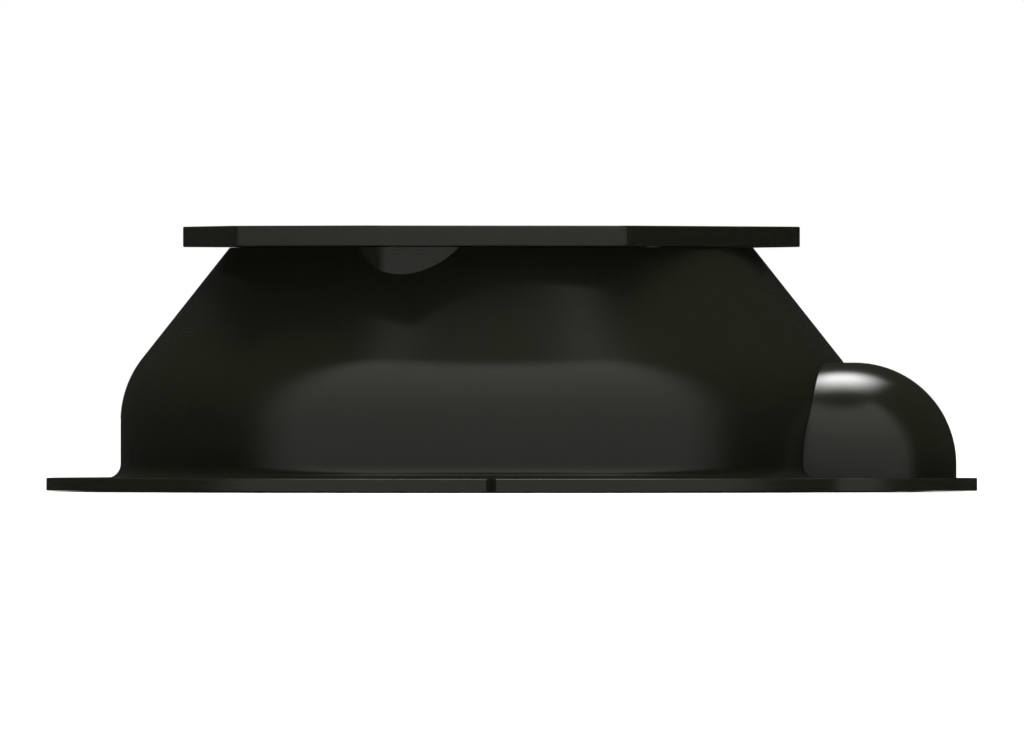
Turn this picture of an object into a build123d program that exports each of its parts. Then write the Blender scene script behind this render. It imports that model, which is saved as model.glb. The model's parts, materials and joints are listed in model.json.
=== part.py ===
"""Round roof vent for a caravan: a drum and cone shell on a flange, closed by a lifting cap plate.

The shell stands on the vehicle's roof. A fan on a deck inside the drum draws air up through an
insect screen and out under the cap plate, which a knob and a lift screw raise from inside.
A small dome on a lobe of the flange covers the electrical terminals.

Frame: millimetres, +Z up, origin on the drum's axis in the flange's underside. Turns are degrees
from +X, anticlockwise seen from above. Each function makes one node.
"""

from build123d import *
from math import atan, atan2, cos, degrees, pi, radians, sin, sqrt, tan
import os

# Shell: a flange, a drum, a rounded shoulder and a cone, with a flat rim round the mouth.
shell_height = 60.75
drum_radius = 92.8
shoulder_height = 26.2      # where the drum's and the cone's sides would meet
shoulder_radius = 25.4
cone_top_radius = 65.5
shell_wall = 3.0
rim_width = 8.0
rim_thick = 3.0
flange_width = 18.6
flange_thick = 3.2
flange_corner = 2.0         # inner corner where the lobe leaves the round flange
base_fillet = 3.5
notch_width = 2.5
notch_depth = 1.5
screw_count = 8
screw_hole_radius = 2.2
screw_head_radius = 4.2
seal_inset = 1.9            # from the flange's edge to its underside seal
seal_width = 2.4
seal_depth = 1.2

# Side dome and the lobe of the flange that it stands on.
dome_turn = -15.8
dome_radius = 28.5
dome_height = 32.0
dome_crown = 3.1            # radius of the flat in the middle of its top
dome_side = 3.4             # upright part of its side, above the flange
dome_wall = 2.5
dome_inset = 1.8            # from the drum's side in to the dome's axis
lobe_radius = 57.7
lobe_margin = 4.3
dome_column_radius = 3.2
dome_seal_width = 1.3
dome_seal_depth = 0.8

# Cap plate: a rectangle with all four corners cut at 45 degrees.
cap_length = 167.8
cap_width = 132.6
cap_corner_cut = 43.6
cap_corner_radius = 6.0
cap_thick = 5.1
cap_turn = 57.0
cap_edge = 0.35
cap_gap = 0.15              # between the closed cap and the rim
cap_travel = 12.0
cap_seal_thick = 1.5
cap_pocket = 2.0            # how far the sleeve and the pins go up into the plate

# Lift tower, sleeve and screw.
tower_turn = -108.6
tower_inset = 11.0          # from the cone's top radius in to the tower's axis
tower_radius = 16.4
tower_wall = 2.5
tower_low = 48.0
collar_wall = 2.5
sleeve_radius = 7.5
sleeve_low = 26.0
sleeve_cap = 8.0            # solid top of the sleeve
spindle_radius = 4.0
stem_radius = 3.0
knob_radius = 12.5
knob_low = 1.5
knob_height = 10.0
knob_grips = 8

# Guide pins and their bosses.
guide_turns = (-50.0, 101.1)
guide_inset = 4.2           # from the cone's top radius in to the pin's axis
guide_radius = 4.1
guide_low = 42.0
pin_radius = 2.5
pin_low = 41.0

# Deck and insect screen inside the drum.
deck_low = 16.0
deck_thick = 3.0
deck_gap = 0.3
deck_screws = 6
deck_boss_radius = 4.0
deck_boss_depth = 12.0
bush_radius = 6.0
bush_flange = 8.0
screen_thick = 2.5
screen_rim = 9.0
screen_ribs = 6
screen_rib_width = 2.4
mesh_thick = 0.4
hub_ring = 12.0

# Fan: frame, motor and wheel.
shroud_gap = 3.85           # from the lift sleeve to the fan's shroud
shroud_wall = 2.5
shroud_height = 21.0
tip_gap = 1.0
strut_count = 4
strut_width = 5.0
strut_thick = 2.5
seat_radius = 19.0
ear_radius = 5.0
bearing_tube_radius = 5.0
bush_outer = 3.5
shaft_radius = 1.5
board_thick = 1.6
board_radius = 15.5
hub_radius = 20.0
hub_low = 25.2
hub_height = 15.0
hub_wall = 2.0
blade_count = 7
blade_root_pitch = 48.0
blade_tip_pitch = 30.0
blade_chord = 15.0
blade_thick = 1.6
yoke_wall = 1.4
magnet_wall = 2.0
air_gap = 0.6

# Leads and grommets.
lead_radius = 1.4
lead_bend = 5.6
wall_hole_radius = 2.6
wall_lip = 1.1
supply_radius = 2.5
supply_hole_radius = 3.5
supply_lip = 1.6
block_length = 16.0
block_width = 8.0
block_height = 9.0

# Fits and fasteners.
running_gap = 0.05          # radial, between pieces that turn or slide on each other
thread_gap = 0.02           # radial, between a screw and the hole that it is driven into
small_screw_radius = 1.25
small_head_radius = 2.6
cap_screw_radius = 1.5
cap_head_radius = 3.4

# Worked-out places.
flange_radius = drum_radius + flange_width
cap_low = shell_height + cap_gap
cap_top = cap_low + cap_thick
mouth_radius = cone_top_radius - rim_width
dome_fillet = min(dome_radius - dome_crown, dome_height - flange_thick - dome_side)
dome_distance = drum_radius - dome_inset
lobe_distance = dome_distance + dome_radius + lobe_margin - lobe_radius
screw_circle = drum_radius + base_fillet + (flange_width - base_fillet) / 2
tower_distance = cone_top_radius - tower_inset
guide_distance = cone_top_radius - guide_inset
deck_top = deck_low + deck_thick
deck_radius = drum_radius - shell_wall - deck_gap
deck_boss_distance = drum_radius - shell_wall - deck_boss_radius - 0.5
screen_low = deck_low - screen_thick
spindle_top = cap_low - sleeve_cap - 1.0
shroud_outer = tower_distance - sleeve_radius - shroud_gap
shroud_inner = shroud_outer - shroud_wall
blade_radius = shroud_inner - tip_gap
ear_distance = shroud_outer + ear_radius - 1.5
seat_top = deck_top + strut_thick
lead_height = seat_top + lead_radius
tube_top = hub_low + hub_height - hub_wall - 2.0
lean = atan((drum_radius - cone_top_radius) / (shell_height - shoulder_height))
# The shoulder's arc may only begin 1.8 below the deck's top, or the wall would meet the deck.
shoulder_fillet = min(shoulder_radius, (shoulder_height - deck_top + 1.8) / tan(lean / 2))


# ---------------------------------------------------------------- helpers
def around(distance, turn):
    """The place at a distance from the axis, at a turn from +X."""
    return (distance * cos(radians(turn)), distance * sin(radians(turn)))


def spread(distance, first_turn, count):
    """Evenly spaced places round the axis."""
    return [around(distance, first_turn + 360 * i / count) for i in range(count)]


def post(radius, low, high, place=(0, 0)):
    """A vertical round post between two heights."""
    return Pos(place[0], place[1], (low + high) / 2) * Cylinder(radius, high - low)


def ring(outer, inner, low, high, place=(0, 0)):
    """A vertical tube between two heights."""
    return post(outer, low, high, place) - post(inner, low, high, place)


def turned(points, place=(0, 0)):
    """A solid turned about a vertical axis from (radius, height) points."""
    face = Plane.XZ * make_face(Polyline(*points, close=True))
    return Pos(place[0], place[1], 0) * revolve(face, Axis.Z)


def rounded_turning(corners, radius):
    """A solid turned from an open run of (radius, height) corners, rounded, then closed to the axis."""
    side = FilletPolyline(*corners, radius=radius)
    foot, top = corners[0], corners[-1]
    inward = [(0, top[1])] if top[0] > 0 else []
    closing = Polyline(top, *inward, (0, foot[1]), foot)
    return revolve(Plane.XZ * make_face([*side.edges(), *closing.edges()]), Axis.Z)


def at_dome(radial, sideways, shape):
    """Moves a shape to a radial and sideways place in the dome's own directions."""
    return Rot(0, 0, dome_turn) * Pos(radial, sideways, 0) * shape


def group(solids):
    """Separate solids that share one node."""
    return Compound(children=[part.solid() for part in solids])


def screw(head_radius, shank_radius, length, top, place, pointing_down=True):
    """A countersunk screw with a cross recess, its head flush at a height."""
    head = head_radius - shank_radius
    tip = shank_radius
    body = turned([(0, 0), (head_radius, 0), (shank_radius, -head), (shank_radius, tip - length),
                   (0, -length)])
    slot = Box(head_radius * 1.1, head_radius * 0.3, head_radius * 0.5)
    body -= slot
    body -= Rot(0, 0, 90) * slot
    if not pointing_down:
        body = Rot(180, 0, 0) * body
    return Pos(place[0], place[1], top) * body


def screw_hole(hole_radius, head_radius, depth, top, place, pointing_down=True):
    """The space for a countersunk screw whose head is flush at a height."""
    head = head_radius - hole_radius
    space = turned([(0, 0), (head_radius, 0), (hole_radius, -head), (hole_radius, -depth),
                    (0, -depth)])
    if not pointing_down:
        space = Rot(180, 0, 0) * space
    return Pos(place[0], place[1], top) * space


# ---------------------------------------------------------------- shell
def shell_form(inset):
    """Drum, shoulder and cone as one solid, every side pulled in by an inset."""
    side = drum_radius - inset
    top = cone_top_radius - inset / cos(lean)
    corner = shell_height - (side - top) / tan(lean)
    return rounded_turning([(side, 0), (side, corner), (top, shell_height)],
                           shoulder_fillet - inset)


def flange_outline(inset=0):
    """The round flange and its lobe in plan, pulled in by an inset."""
    lobe = around(lobe_distance, dome_turn)
    outline = Circle(flange_radius - inset) + Pos(*lobe) * Circle(lobe_radius - inset)
    return fillet(outline.vertices(), flange_corner + inset)


def outer_form():
    """The shell's outside as one solid, with the fillet round the drum's foot."""
    form = shell_form(0) + extrude(flange_outline(), flange_thick)
    foot = [edge for edge in form.edges().filter_by(GeomType.CIRCLE)
            if abs(edge.center().Z - flange_thick) < 0.01 and abs(edge.radius - drum_radius) < 0.01]
    return fillet(foot, base_fillet)


def tower_place():
    return around(tower_distance, tower_turn)


def guide_places():
    return [around(guide_distance, turn) for turn in guide_turns]


def deck_boss_places():
    return spread(deck_boss_distance, 180 / deck_screws, deck_screws)


def dome_screw_places():
    """Radial and sideways places of the dome's three screw columns."""
    reach = dome_radius - dome_wall - dome_column_radius + 0.4
    side = reach * sin(radians(70))
    return [(dome_distance + reach, 0), (dome_distance + reach * cos(radians(70)), side),
            (dome_distance + reach * cos(radians(70)), -side)]


def dome_to_plan(place):
    """Turns a radial and sideways place into X and Y."""
    turn = dome_turn + degrees(atan2(place[1], place[0]))
    return around(sqrt(place[0] ** 2 + place[1] ** 2), turn)


def supply_place():
    """Where the supply cable comes up through the lobe, beside the terminal block."""
    return (dome_distance + 12.0, block_length / 2 + supply_hole_radius + supply_lip + 0.9)


def wall_hole(radius, length):
    """A bore through the drum's side into the dome, along the dome's own radius."""
    return Rot(0, 0, dome_turn) * Pos(drum_radius - length / 2, 0, lead_height) * (
        Rot(0, 90, 0) * Cylinder(radius, 2 * length))


def flange_seal_form():
    band = flange_outline(seal_inset) - flange_outline(seal_inset + seal_width)
    return extrude(band, seal_depth)


def dome_seal_form():
    """An arc of cord under the dome's wall, which stops short of the drum's foot."""
    middle = dome_radius - dome_wall / 2
    arc = ring(middle + dome_seal_width / 2, middle - dome_seal_width / 2,
               flange_thick - dome_seal_depth, flange_thick)
    drum = post(drum_radius + base_fillet + 0.5, 0, flange_thick + 1)
    return at_dome(dome_distance, 0, arc) - drum


def notch():
    """The space of a V-shaped centring mark in the flange's edge."""
    half = notch_width / 2
    mark = make_face(Polyline((-notch_depth, 0), (0, half), (notch_depth, 0), (0, -half),
                              close=True))
    return extrude(mark, flange_thick + 2)


def base_shell():
    """The shell: flange, drum, cone, tower, guide bosses and deck bosses in one moulding."""
    high, low = shell_height, shell_height - rim_thick
    shell = outer_form() - shell_form(shell_wall)
    shell += (shell_form(0) & post(drum_radius, low, high)) - post(mouth_radius, low, high)
    tower = tower_place()
    shell += post(tower_radius, tower_low, high, tower)
    shell -= post(tower_radius - tower_wall, tower_low, low, tower)
    shell += post(sleeve_radius + running_gap + collar_wall, tower_low, high, tower)
    shell -= post(sleeve_radius + running_gap, tower_low, high, tower)
    for place in guide_places():
        shell += post(guide_radius, guide_low, high, place)
        shell -= post(pin_radius + running_gap, guide_low, high, place)
    for place in deck_boss_places():
        shell += post(deck_boss_radius, deck_top, shell_height, place) & shell_form(1.0)
        shell -= post(small_screw_radius + thread_gap, deck_top, deck_top + deck_boss_depth, place)
    for place in screw_places():
        shell -= screw_hole(screw_hole_radius, screw_head_radius, flange_thick, flange_thick, place)
    for place in dome_screw_places():
        shell -= screw_hole(small_screw_radius + thread_gap, small_head_radius, flange_thick, 0,
                            dome_to_plan(place), pointing_down=False)
    shell -= post(supply_hole_radius, 0, flange_thick, dome_to_plan(supply_place()))
    shell -= wall_hole(wall_hole_radius, shell_wall + 2)
    shell -= flange_seal_form()
    shell -= dome_seal_form()
    for turn in (-90, 90):
        shell -= Rot(0, 0, turn) * Pos(flange_radius, 0, -1) * notch()
    return shell


def screw_places():
    """The flange's screws, spaced so that the dome stands between two of them."""
    return spread(screw_circle, dome_turn + 180 / screw_count, screw_count)


# ---------------------------------------------------------------- side dome
def dome_form(inset):
    """The dome as one solid: a short drum with a large rounded top edge."""
    side, top = dome_radius - inset, dome_height - inset
    return at_dome(dome_distance, 0, rounded_turning(
        [(side, flange_thick), (side, top), (0, top)], dome_fillet - inset))


def side_dome():
    dome = dome_form(0) - dome_form(dome_wall)
    for place in dome_screw_places():
        column = post(dome_column_radius, flange_thick, dome_height, dome_to_plan(place))
        dome += column & dome_form(0.5)
        dome -= post(small_screw_radius + thread_gap, flange_thick, flange_thick + 11,
                     dome_to_plan(place))
    return dome - outer_form()


def dome_screws():
    return group([screw(small_head_radius, small_screw_radius, 13, 0, dome_to_plan(place),
                        pointing_down=False) for place in dome_screw_places()])


def block_distance():
    """The terminal block's middle, just outside the drum's foot."""
    return drum_radius + base_fillet + 1.7 + block_width / 2


def terminal_block():
    """A two-way terminal block with screw wells on top and a wire hole in each side."""
    top = flange_thick + block_height
    block = Pos(0, 0, flange_thick + block_height / 2) * Box(block_width, block_length, block_height)
    step = Pos(block_width * 0.42, 0, top) * Box(block_width * 0.5, block_length + 1, 4)
    block -= step
    for side in (-1, 1):
        block -= post(1.6, top - 5, top, (-block_width * 0.15, side * block_length / 4))
        block -= Pos(0, side * block_length / 4, flange_thick + 2.5) * (
            Rot(0, 90, 0) * Cylinder(1.3, block_width + 1))
    block -= post(lead_radius, top - 1.0, top, (-block_width * 0.15, 0))
    return at_dome(block_distance(), 0, block)


def terminal_screws():
    """The block's two clamping screws, slotted, down in their wells."""
    top = flange_thick + block_height
    screws = []
    for side in (-1, 1):
        body = post(1.55, top - 4.9, top - 1.5) - Pos(0, 0, top - 1.5) * Box(4, 0.6, 1.2)
        place = dome_to_plan((block_distance() - block_width * 0.15, side * block_length / 4))
        screws.append(Pos(place[0], place[1], 0) * body)
    return group(screws)


def cable_grommet():
    """A rubber grommet in the lobe, flush below, with a lip above."""
    lip = supply_hole_radius + supply_lip
    return turned([(supply_radius, 0), (supply_hole_radius, 0), (supply_hole_radius, flange_thick),
                   (lip, flange_thick), (lip - 0.6, flange_thick + 2.2),
                   (supply_radius, flange_thick + 2.2)], dome_to_plan(supply_place()))


def lead_grommet():
    """A rubber grommet in the drum's side, which the motor's lead runs through."""
    grommet = wall_hole(wall_hole_radius, shell_wall + 2) & (
        shell_form(-1.4) - shell_form(shell_wall + 1.4))
    lips = wall_hole(wall_hole_radius + wall_lip, shell_wall + 4)
    grommet += lips & (shell_form(-1.4) - shell_form(0))
    grommet += lips & (shell_form(shell_wall) - shell_form(shell_wall + 1.4))
    return grommet - wall_hole(lead_radius, shell_wall + 6)


def motor_lead():
    """The two-core lead: up from the terminal block, then straight in to the motor's board."""
    start = block_distance() - block_width * 0.15
    foot = flange_thick + block_height - 1.0
    path = FilletPolyline((start, 0, foot), (start, 0, lead_height),
                          (board_radius + 0.5, 0, lead_height), radius=lead_bend)
    section = Plane((start, 0, foot), z_dir=(0, 0, 1)) * Circle(lead_radius)
    return Rot(0, 0, dome_turn) * sweep(section, path)


# ---------------------------------------------------------------- deck and screen
def fan_deck():
    """The plate across the drum, with the fan's opening and the lift screw's bearing hole."""
    deck = ring(deck_radius, shroud_inner, deck_low, deck_top)
    deck += ring(shroud_outer + 12, shroud_outer + 10, deck_low - 1.2, deck_low) - post(
        bush_flange + 3, deck_low - 2, deck_low, tower_place())
    deck -= post(bush_radius, deck_low - 2, deck_top, tower_place())
    for place in deck_boss_places():
        deck -= post(small_screw_radius + 0.2, deck_low, deck_top, place)
    for place in ear_places():
        deck -= post(small_screw_radius + thread_gap, deck_low - 2, deck_top, place)
    return deck


def deck_screw_set():
    """Long screws that clamp the screen's frame and the deck to the shell's bosses."""
    return group([screw(small_head_radius, small_screw_radius, screen_thick + deck_thick + 10,
                        screen_low, place, pointing_down=False) for place in deck_boss_places()])


def spindle_bush():
    """The lift screw's flanged nylon bush, pressed into the deck."""
    bore = stem_radius + running_gap
    return turned([(bore, deck_low - 0.5), (bush_radius, deck_low - 0.5), (bush_radius, deck_top),
                   (bush_flange, deck_top), (bush_flange, deck_top + 1), (bore, deck_top + 1)],
                  tower_place())


def screen_eye():
    """Half the size of the screen's round hole for the bush and the knob's hub."""
    return bush_radius + 1.0


def screen_frame():
    """The moulded frame that carries the insect screen: a rim, ribs and an eye for the screw."""
    inner = deck_radius - screen_rim
    frame = ring(deck_radius, inner, screen_low, deck_low)
    ribs = Part()
    for i in range(screen_ribs):
        rib = Pos(inner / 2, 0, (screen_low + deck_low) / 2) * Box(
            inner + 1, screen_rib_width, screen_thick)
        ribs += Rot(0, 0, tower_turn + 360 * i / screen_ribs) * rib
    frame += ribs - post(hub_ring, screen_low, deck_low)
    frame += ring(hub_ring, hub_ring - 2, screen_low, deck_low)
    frame += post(screen_eye() + 2, screen_low, deck_low, tower_place())
    frame -= post(screen_eye(), screen_low, deck_low, tower_place())
    frame -= ring(shroud_outer + 12.3, shroud_outer + 9.7, deck_low - 1.4, deck_low)
    for place in deck_boss_places():
        frame -= screw_hole(small_screw_radius + 0.2, small_head_radius, screen_thick,
                            screen_low, place, pointing_down=False)
    slot = ring(inner + 0.5, 0.1, screen_low, screen_low + mesh_thick)
    return frame - slot


def insect_screen():
    """The woven screen, a thin disc let into the underside of its frame."""
    disc = post(deck_radius - screen_rim + 0.5, screen_low, screen_low + mesh_thick)
    return disc - post(screen_eye(), screen_low, deck_low, tower_place())


# ---------------------------------------------------------------- fan
def ear_places():
    return spread(ear_distance, dome_turn + 180 / strut_count, strut_count)


def fan_frame():
    """Shroud, struts, motor seat and bearing tube in one moulding, screwed to the deck."""
    top = deck_top + shroud_height
    frame = ring(shroud_outer, shroud_inner, deck_top, top)
    for place in ear_places():
        frame += post(ear_radius, deck_top, deck_top + 3, place) - post(
            shroud_inner, deck_top, deck_top + 3)
        frame -= screw_hole(small_screw_radius + 0.2, small_head_radius, 3, deck_top + 3, place)
    length = shroud_outer - 1
    for i in range(strut_count):
        strut = Pos(length / 2, 0, deck_top + strut_thick / 2) * Box(
            length, strut_width, strut_thick)
        frame += Rot(0, 0, dome_turn + 360 * i / strut_count) * strut
    frame += post(seat_radius, deck_top, seat_top)
    frame += post(bearing_tube_radius, deck_top, tube_top)
    frame -= post(bush_outer, seat_top, tube_top)
    lead = Rot(0, 90, 0) * Cylinder(lead_radius + 0.2, 10)
    return frame - Rot(0, 0, dome_turn) * Pos(shroud_outer, 0, lead_height) * lead


def frame_screws():
    return group([screw(small_head_radius, small_screw_radius, 6, deck_top + 3, place)
                  for place in ear_places()])


def motor_board():
    """The motor's round circuit board, with the lead's connector and a few parts on it."""
    top = seat_top + board_thick
    board = ring(board_radius, bearing_tube_radius + 0.1, seat_top, top)
    plug = Pos(board_radius - 1.5, 0, seat_top + 1.4) * Box(4, 5, 2.8)
    board += plug
    board += Pos(-9.5, 2, top + 0.35) * Box(3, 4, 0.7)
    board += Pos(-1, 10.5, top + 0.3) * Box(3.5, 2.5, 0.6)
    return Rot(0, 0, dome_turn) * board


def stator_radius():
    return hub_radius - hub_wall - yoke_wall - magnet_wall - air_gap


def stator_core():
    """A four-pole laminated core on the bearing tube."""
    low, high = hub_low + 3.5, tube_top - 1.5
    outer = stator_radius()
    core = ring(bearing_tube_radius + 2.0, bearing_tube_radius, low, high)
    for i in range(4):
        arm = Pos(outer / 2, 0, (low + high) / 2) * Box(outer, 3.2, high - low)
        shoe = (ring(outer, outer - 1.6, low, high)
                & Pos(outer, 0, (low + high) / 2) * Box(outer, outer * 1.25, high - low))
        pole = (arm & post(outer, low, high)) + shoe
        core += Rot(0, 0, 90 * i) * (pole - post(bearing_tube_radius + 1.0, low, high))
    return core


def stator_coils():
    """Four coils of copper wire, one wound round each pole."""
    low, high = hub_low + 3.5, tube_top - 1.5
    inner, outer = bearing_tube_radius + 2.3, stator_radius() - 2.2
    span, middle = outer - inner, (inner + outer) / 2
    coils = []
    for i in range(4):
        body = Pos(middle, 0, (low + high) / 2) * Box(span, 5.6, high - low + 2.4)
        body = fillet(body.edges().filter_by(Axis.X), 1.0)
        body -= Pos(middle, 0, (low + high) / 2) * Box(span + 2, 3.3, high - low + 0.1)
        coils.append(Rot(0, 0, 90 * i) * body)
    return group(coils)


def shaft_bush():
    """The sintered bronze bush in the bearing tube."""
    return ring(bush_outer, shaft_radius + running_gap, seat_top + 2.7, tube_top)


def fan_wheel():
    """The fan's hub and its twisted blades in one moulding."""
    top = hub_low + hub_height
    hub = turned([(0, top), (hub_radius - 2.5, top), (hub_radius, top - 2.5), (hub_radius, hub_low),
                  (hub_radius - hub_wall, hub_low), (hub_radius - hub_wall, top - hub_wall),
                  (0, top - hub_wall)])
    boss = post(shaft_radius + 2.0, tube_top + 0.6, top - hub_wall)
    hub = hub + boss - post(shaft_radius, tube_top + 0.4, top - hub_wall + 0.5)
    middle = hub_low + hub_height / 2
    root = Plane((hub_radius - 0.8, 0, middle), x_dir=(0, 1, 0), z_dir=(1, 0, 0))
    tip = Plane((blade_radius + 2.0, 0, middle), x_dir=(0, 1, 0), z_dir=(1, 0, 0))
    first = root * Rot(0, 0, blade_root_pitch) * Rectangle(blade_chord, blade_thick)
    last = tip * Rot(0, 0, blade_tip_pitch) * Rectangle(blade_chord * 1.5, blade_thick * 0.8)
    blade = loft([first, last]) & ring(blade_radius, hub_radius - 0.6, hub_low + 0.8, top)
    for i in range(blade_count):
        hub += Rot(0, 0, 360 * i / blade_count) * blade
    return hub


def rotor_yoke():
    """The steel ring pressed into the hub."""
    outer = hub_radius - hub_wall
    return ring(outer, outer - yoke_wall, hub_low + 0.5, hub_low + hub_height - hub_wall)


def magnet_ring():
    outer = hub_radius - hub_wall - yoke_wall
    return ring(outer, outer - magnet_wall, hub_low + 1.0, hub_low + hub_height - hub_wall - 1.0)


def clip_low():
    return seat_top + 1.8


def fan_shaft():
    """The fan's steel shaft, with a groove for its clip near the foot."""
    top = hub_low + hub_height - hub_wall + 0.5
    shaft = post(shaft_radius, seat_top + 1.0, top)
    return shaft - ring(shaft_radius + 1, shaft_radius - 0.4, clip_low(), clip_low() + 0.6)


def shaft_clip():
    """The slotted washer that keeps the shaft in its bush."""
    clip = ring(bush_outer - 0.5, shaft_radius - 0.4, clip_low(), clip_low() + 0.5)
    return clip - Pos(3, 0, clip_low()) * Box(6, 0.8, 4)


# ---------------------------------------------------------------- cap
def cap_outline():
    """The cap in plan, with its length along X before it is turned."""
    half_x, half_y, cut = cap_length / 2, cap_width / 2, cap_corner_cut
    corners = []
    for x, y in ((1, 1), (-1, 1), (-1, -1), (1, -1)):
        along = (x * (half_x - cut), y * half_y)
        across = (x * half_x, y * (half_y - cut))
        corners += [across, along] if x * y > 0 else [along, across]
    outline = make_face(Polyline(*corners, close=True))
    return Rot(0, 0, cap_turn) * fillet(outline.vertices(), cap_corner_radius)


def cap_seal_form():
    """A flat seal in the plan of the shell's rim and the tops of its bosses."""
    low, high = cap_low, cap_low + cap_seal_thick
    seal = ring(cone_top_radius - 0.6, mouth_radius + 0.5, low, high)
    seal += post(tower_radius - 0.6, low, high, tower_place())
    for place in guide_places():
        seal += post(guide_radius - 0.6, low, high, place)
    return seal


def cap_plate():
    """The flat cap, with pockets below for its seal, the lift sleeve and the guide pins."""
    plate = extrude(Pos(0, 0, cap_low) * cap_outline(), cap_thick)
    edges = plate.edges().group_by(Axis.Z)
    plate = fillet(edges[0] + edges[-1], cap_edge)
    plate -= cap_seal_form()
    plate -= post(sleeve_radius, cap_low, cap_low + cap_pocket, tower_place())
    plate -= screw_hole(cap_screw_radius + 0.15, cap_head_radius, cap_thick, cap_top, tower_place())
    for place in guide_places():
        plate -= post(pin_radius, cap_low, cap_low + cap_pocket, place)
        plate -= screw_hole(small_screw_radius + 0.15, small_head_radius, cap_thick, cap_top, place)
    return plate


def cap_seal():
    seal = cap_seal_form() - post(sleeve_radius, cap_low, cap_top, tower_place())
    for place in guide_places():
        seal -= post(pin_radius, cap_low, cap_top, place)
    return seal


def lift_sleeve():
    """The sleeve under the cap, bored from below for the lift screw."""
    place = tower_place()
    top = cap_low + cap_pocket
    sleeve = post(sleeve_radius, sleeve_low, top, place)
    sleeve -= post(spindle_radius + running_gap, sleeve_low, cap_low - sleeve_cap, place)
    return sleeve - post(cap_screw_radius + thread_gap, top - 7, top, place)


def guide_pins():
    """Two steel pins that keep the cap level and stop it turning."""
    pins = []
    top = cap_low + cap_pocket
    for place in guide_places():
        pin = turned([(0, pin_low), (pin_radius - 0.6, pin_low), (pin_radius, pin_low + 0.8),
                      (pin_radius, top), (0, top)], place)
        pins.append(pin - post(small_screw_radius + thread_gap, top - 6.5, top, place))
    return group(pins)


def cap_screws():
    """The cap's screws: one into the lift sleeve and one into each guide pin."""
    screws = [screw(cap_head_radius, cap_screw_radius, 9, cap_top, tower_place())]
    for place in guide_places():
        screws.append(screw(small_head_radius, small_screw_radius, 9, cap_top, place))
    return group(screws)


# ---------------------------------------------------------------- lift screw
def stem_low():
    return knob_low + 3.5


def ring_groove():
    """Height of the groove for the spindle's clip, under the bush."""
    return deck_low - 0.5 - 1.0


def lift_spindle():
    """The lift screw: a threaded length in the sleeve and a plain stem down to the knob."""
    shoulder = deck_top + 1 + 0.2
    spindle = turned([(0, stem_low()), (stem_radius, stem_low()), (stem_radius, shoulder),
                      (spindle_radius, shoulder), (spindle_radius, spindle_top - 1),
                      (spindle_radius - 1, spindle_top), (0, spindle_top)], tower_place())
    spindle -= ring(stem_radius + 2, stem_radius - 0.5, ring_groove(), ring_groove() + 0.9,
                    tower_place())
    return spindle - post(small_screw_radius + thread_gap, stem_low(), stem_low() + 8,
                          tower_place())


def spindle_clip():
    """The spring clip that holds the spindle down in its bush."""
    x, y = tower_place()
    clip = ring(stem_radius + 2.0, stem_radius - 0.5, ring_groove(), ring_groove() + 0.8, (x, y))
    return clip - Pos(x + 3, y, ring_groove()) * Box(6, 3.2, 4)


def lift_knob():
    """The knob under the screen: a scalloped grip with a hub that takes the spindle's stem."""
    low, high = knob_low, knob_low + knob_height
    knob = turned([(0, low), (knob_radius - 1.2, low), (knob_radius, low + 1.2),
                   (knob_radius, high - 2.5), (knob_radius - 2.5, high), (0, high)])
    scallop = 2.6
    for place in spread(knob_radius + scallop * 0.45, 0, knob_grips):
        knob -= post(scallop, low - 1, high + 1, place)
    knob -= post(stem_radius, stem_low(), high)
    knob -= screw_hole(small_screw_radius + 0.15, small_head_radius, stem_low() - low + 1, low,
                       (0, 0), pointing_down=False)
    x, y = tower_place()
    return Pos(x, y, 0) * knob


def knob_screw():
    return screw(small_head_radius, small_screw_radius, 10, knob_low, tower_place(),
                 pointing_down=False)


nodes = {
    "base_shell": base_shell,
    "flange_seal": flange_seal_form,
    "side_dome": side_dome,
    "dome_seal": dome_seal_form,
    "dome_screws": dome_screws,
    "terminal_block": terminal_block,
    "terminal_screws": terminal_screws,
    "cable_grommet": cable_grommet,
    "lead_grommet": lead_grommet,
    "motor_lead": motor_lead,
    "fan_deck": fan_deck,
    "deck_screws": deck_screw_set,
    "spindle_bush": spindle_bush,
    "screen_frame": screen_frame,
    "insect_screen": insect_screen,
    "fan_frame": fan_frame,
    "frame_screws": frame_screws,
    "motor_board": motor_board,
    "stator_core": stator_core,
    "stator_coils": stator_coils,
    "shaft_bush": shaft_bush,
    "fan_wheel": fan_wheel,
    "rotor_yoke": rotor_yoke,
    "magnet_ring": magnet_ring,
    "fan_shaft": fan_shaft,
    "shaft_clip": shaft_clip,
    "cap_plate": cap_plate,
    "cap_seal": cap_seal,
    "lift_sleeve": lift_sleeve,
    "guide_pins": guide_pins,
    "cap_screws": cap_screws,
    "lift_spindle": lift_spindle,
    "spindle_clip": spindle_clip,
    "lift_knob": lift_knob,
    "knob_screw": knob_screw,
}

os.makedirs("parts", exist_ok=True)
for name, make in nodes.items():
    export_step(make(), f"parts/{name}.step")
    print("wrote", name)
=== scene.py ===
# %% [markdown]
# # A low round roof vent for a caravan
#
# The vent is a drum and a cone in one glossy moulding, on a flange that lies on the roof. A flat
# eight-sided cap closes the cone, and a small dome on a lobe of the flange covers the terminals.
# Inside there is a fan on a deck, an insect screen, and a knob whose screw lifts the cap.
#
# The engineering model is loaded first and stays where it is. This script gives it its looks:
# the large outer pieces are built again here as smooth, high-resolution meshes in the same places,
# small repeated things are grown with Geometry Nodes, and every piece gets a procedural finish.

# %% Load the fixed frame
import json
import math

import bmesh
import bpy
from mathutils import Matrix, Vector


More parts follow.
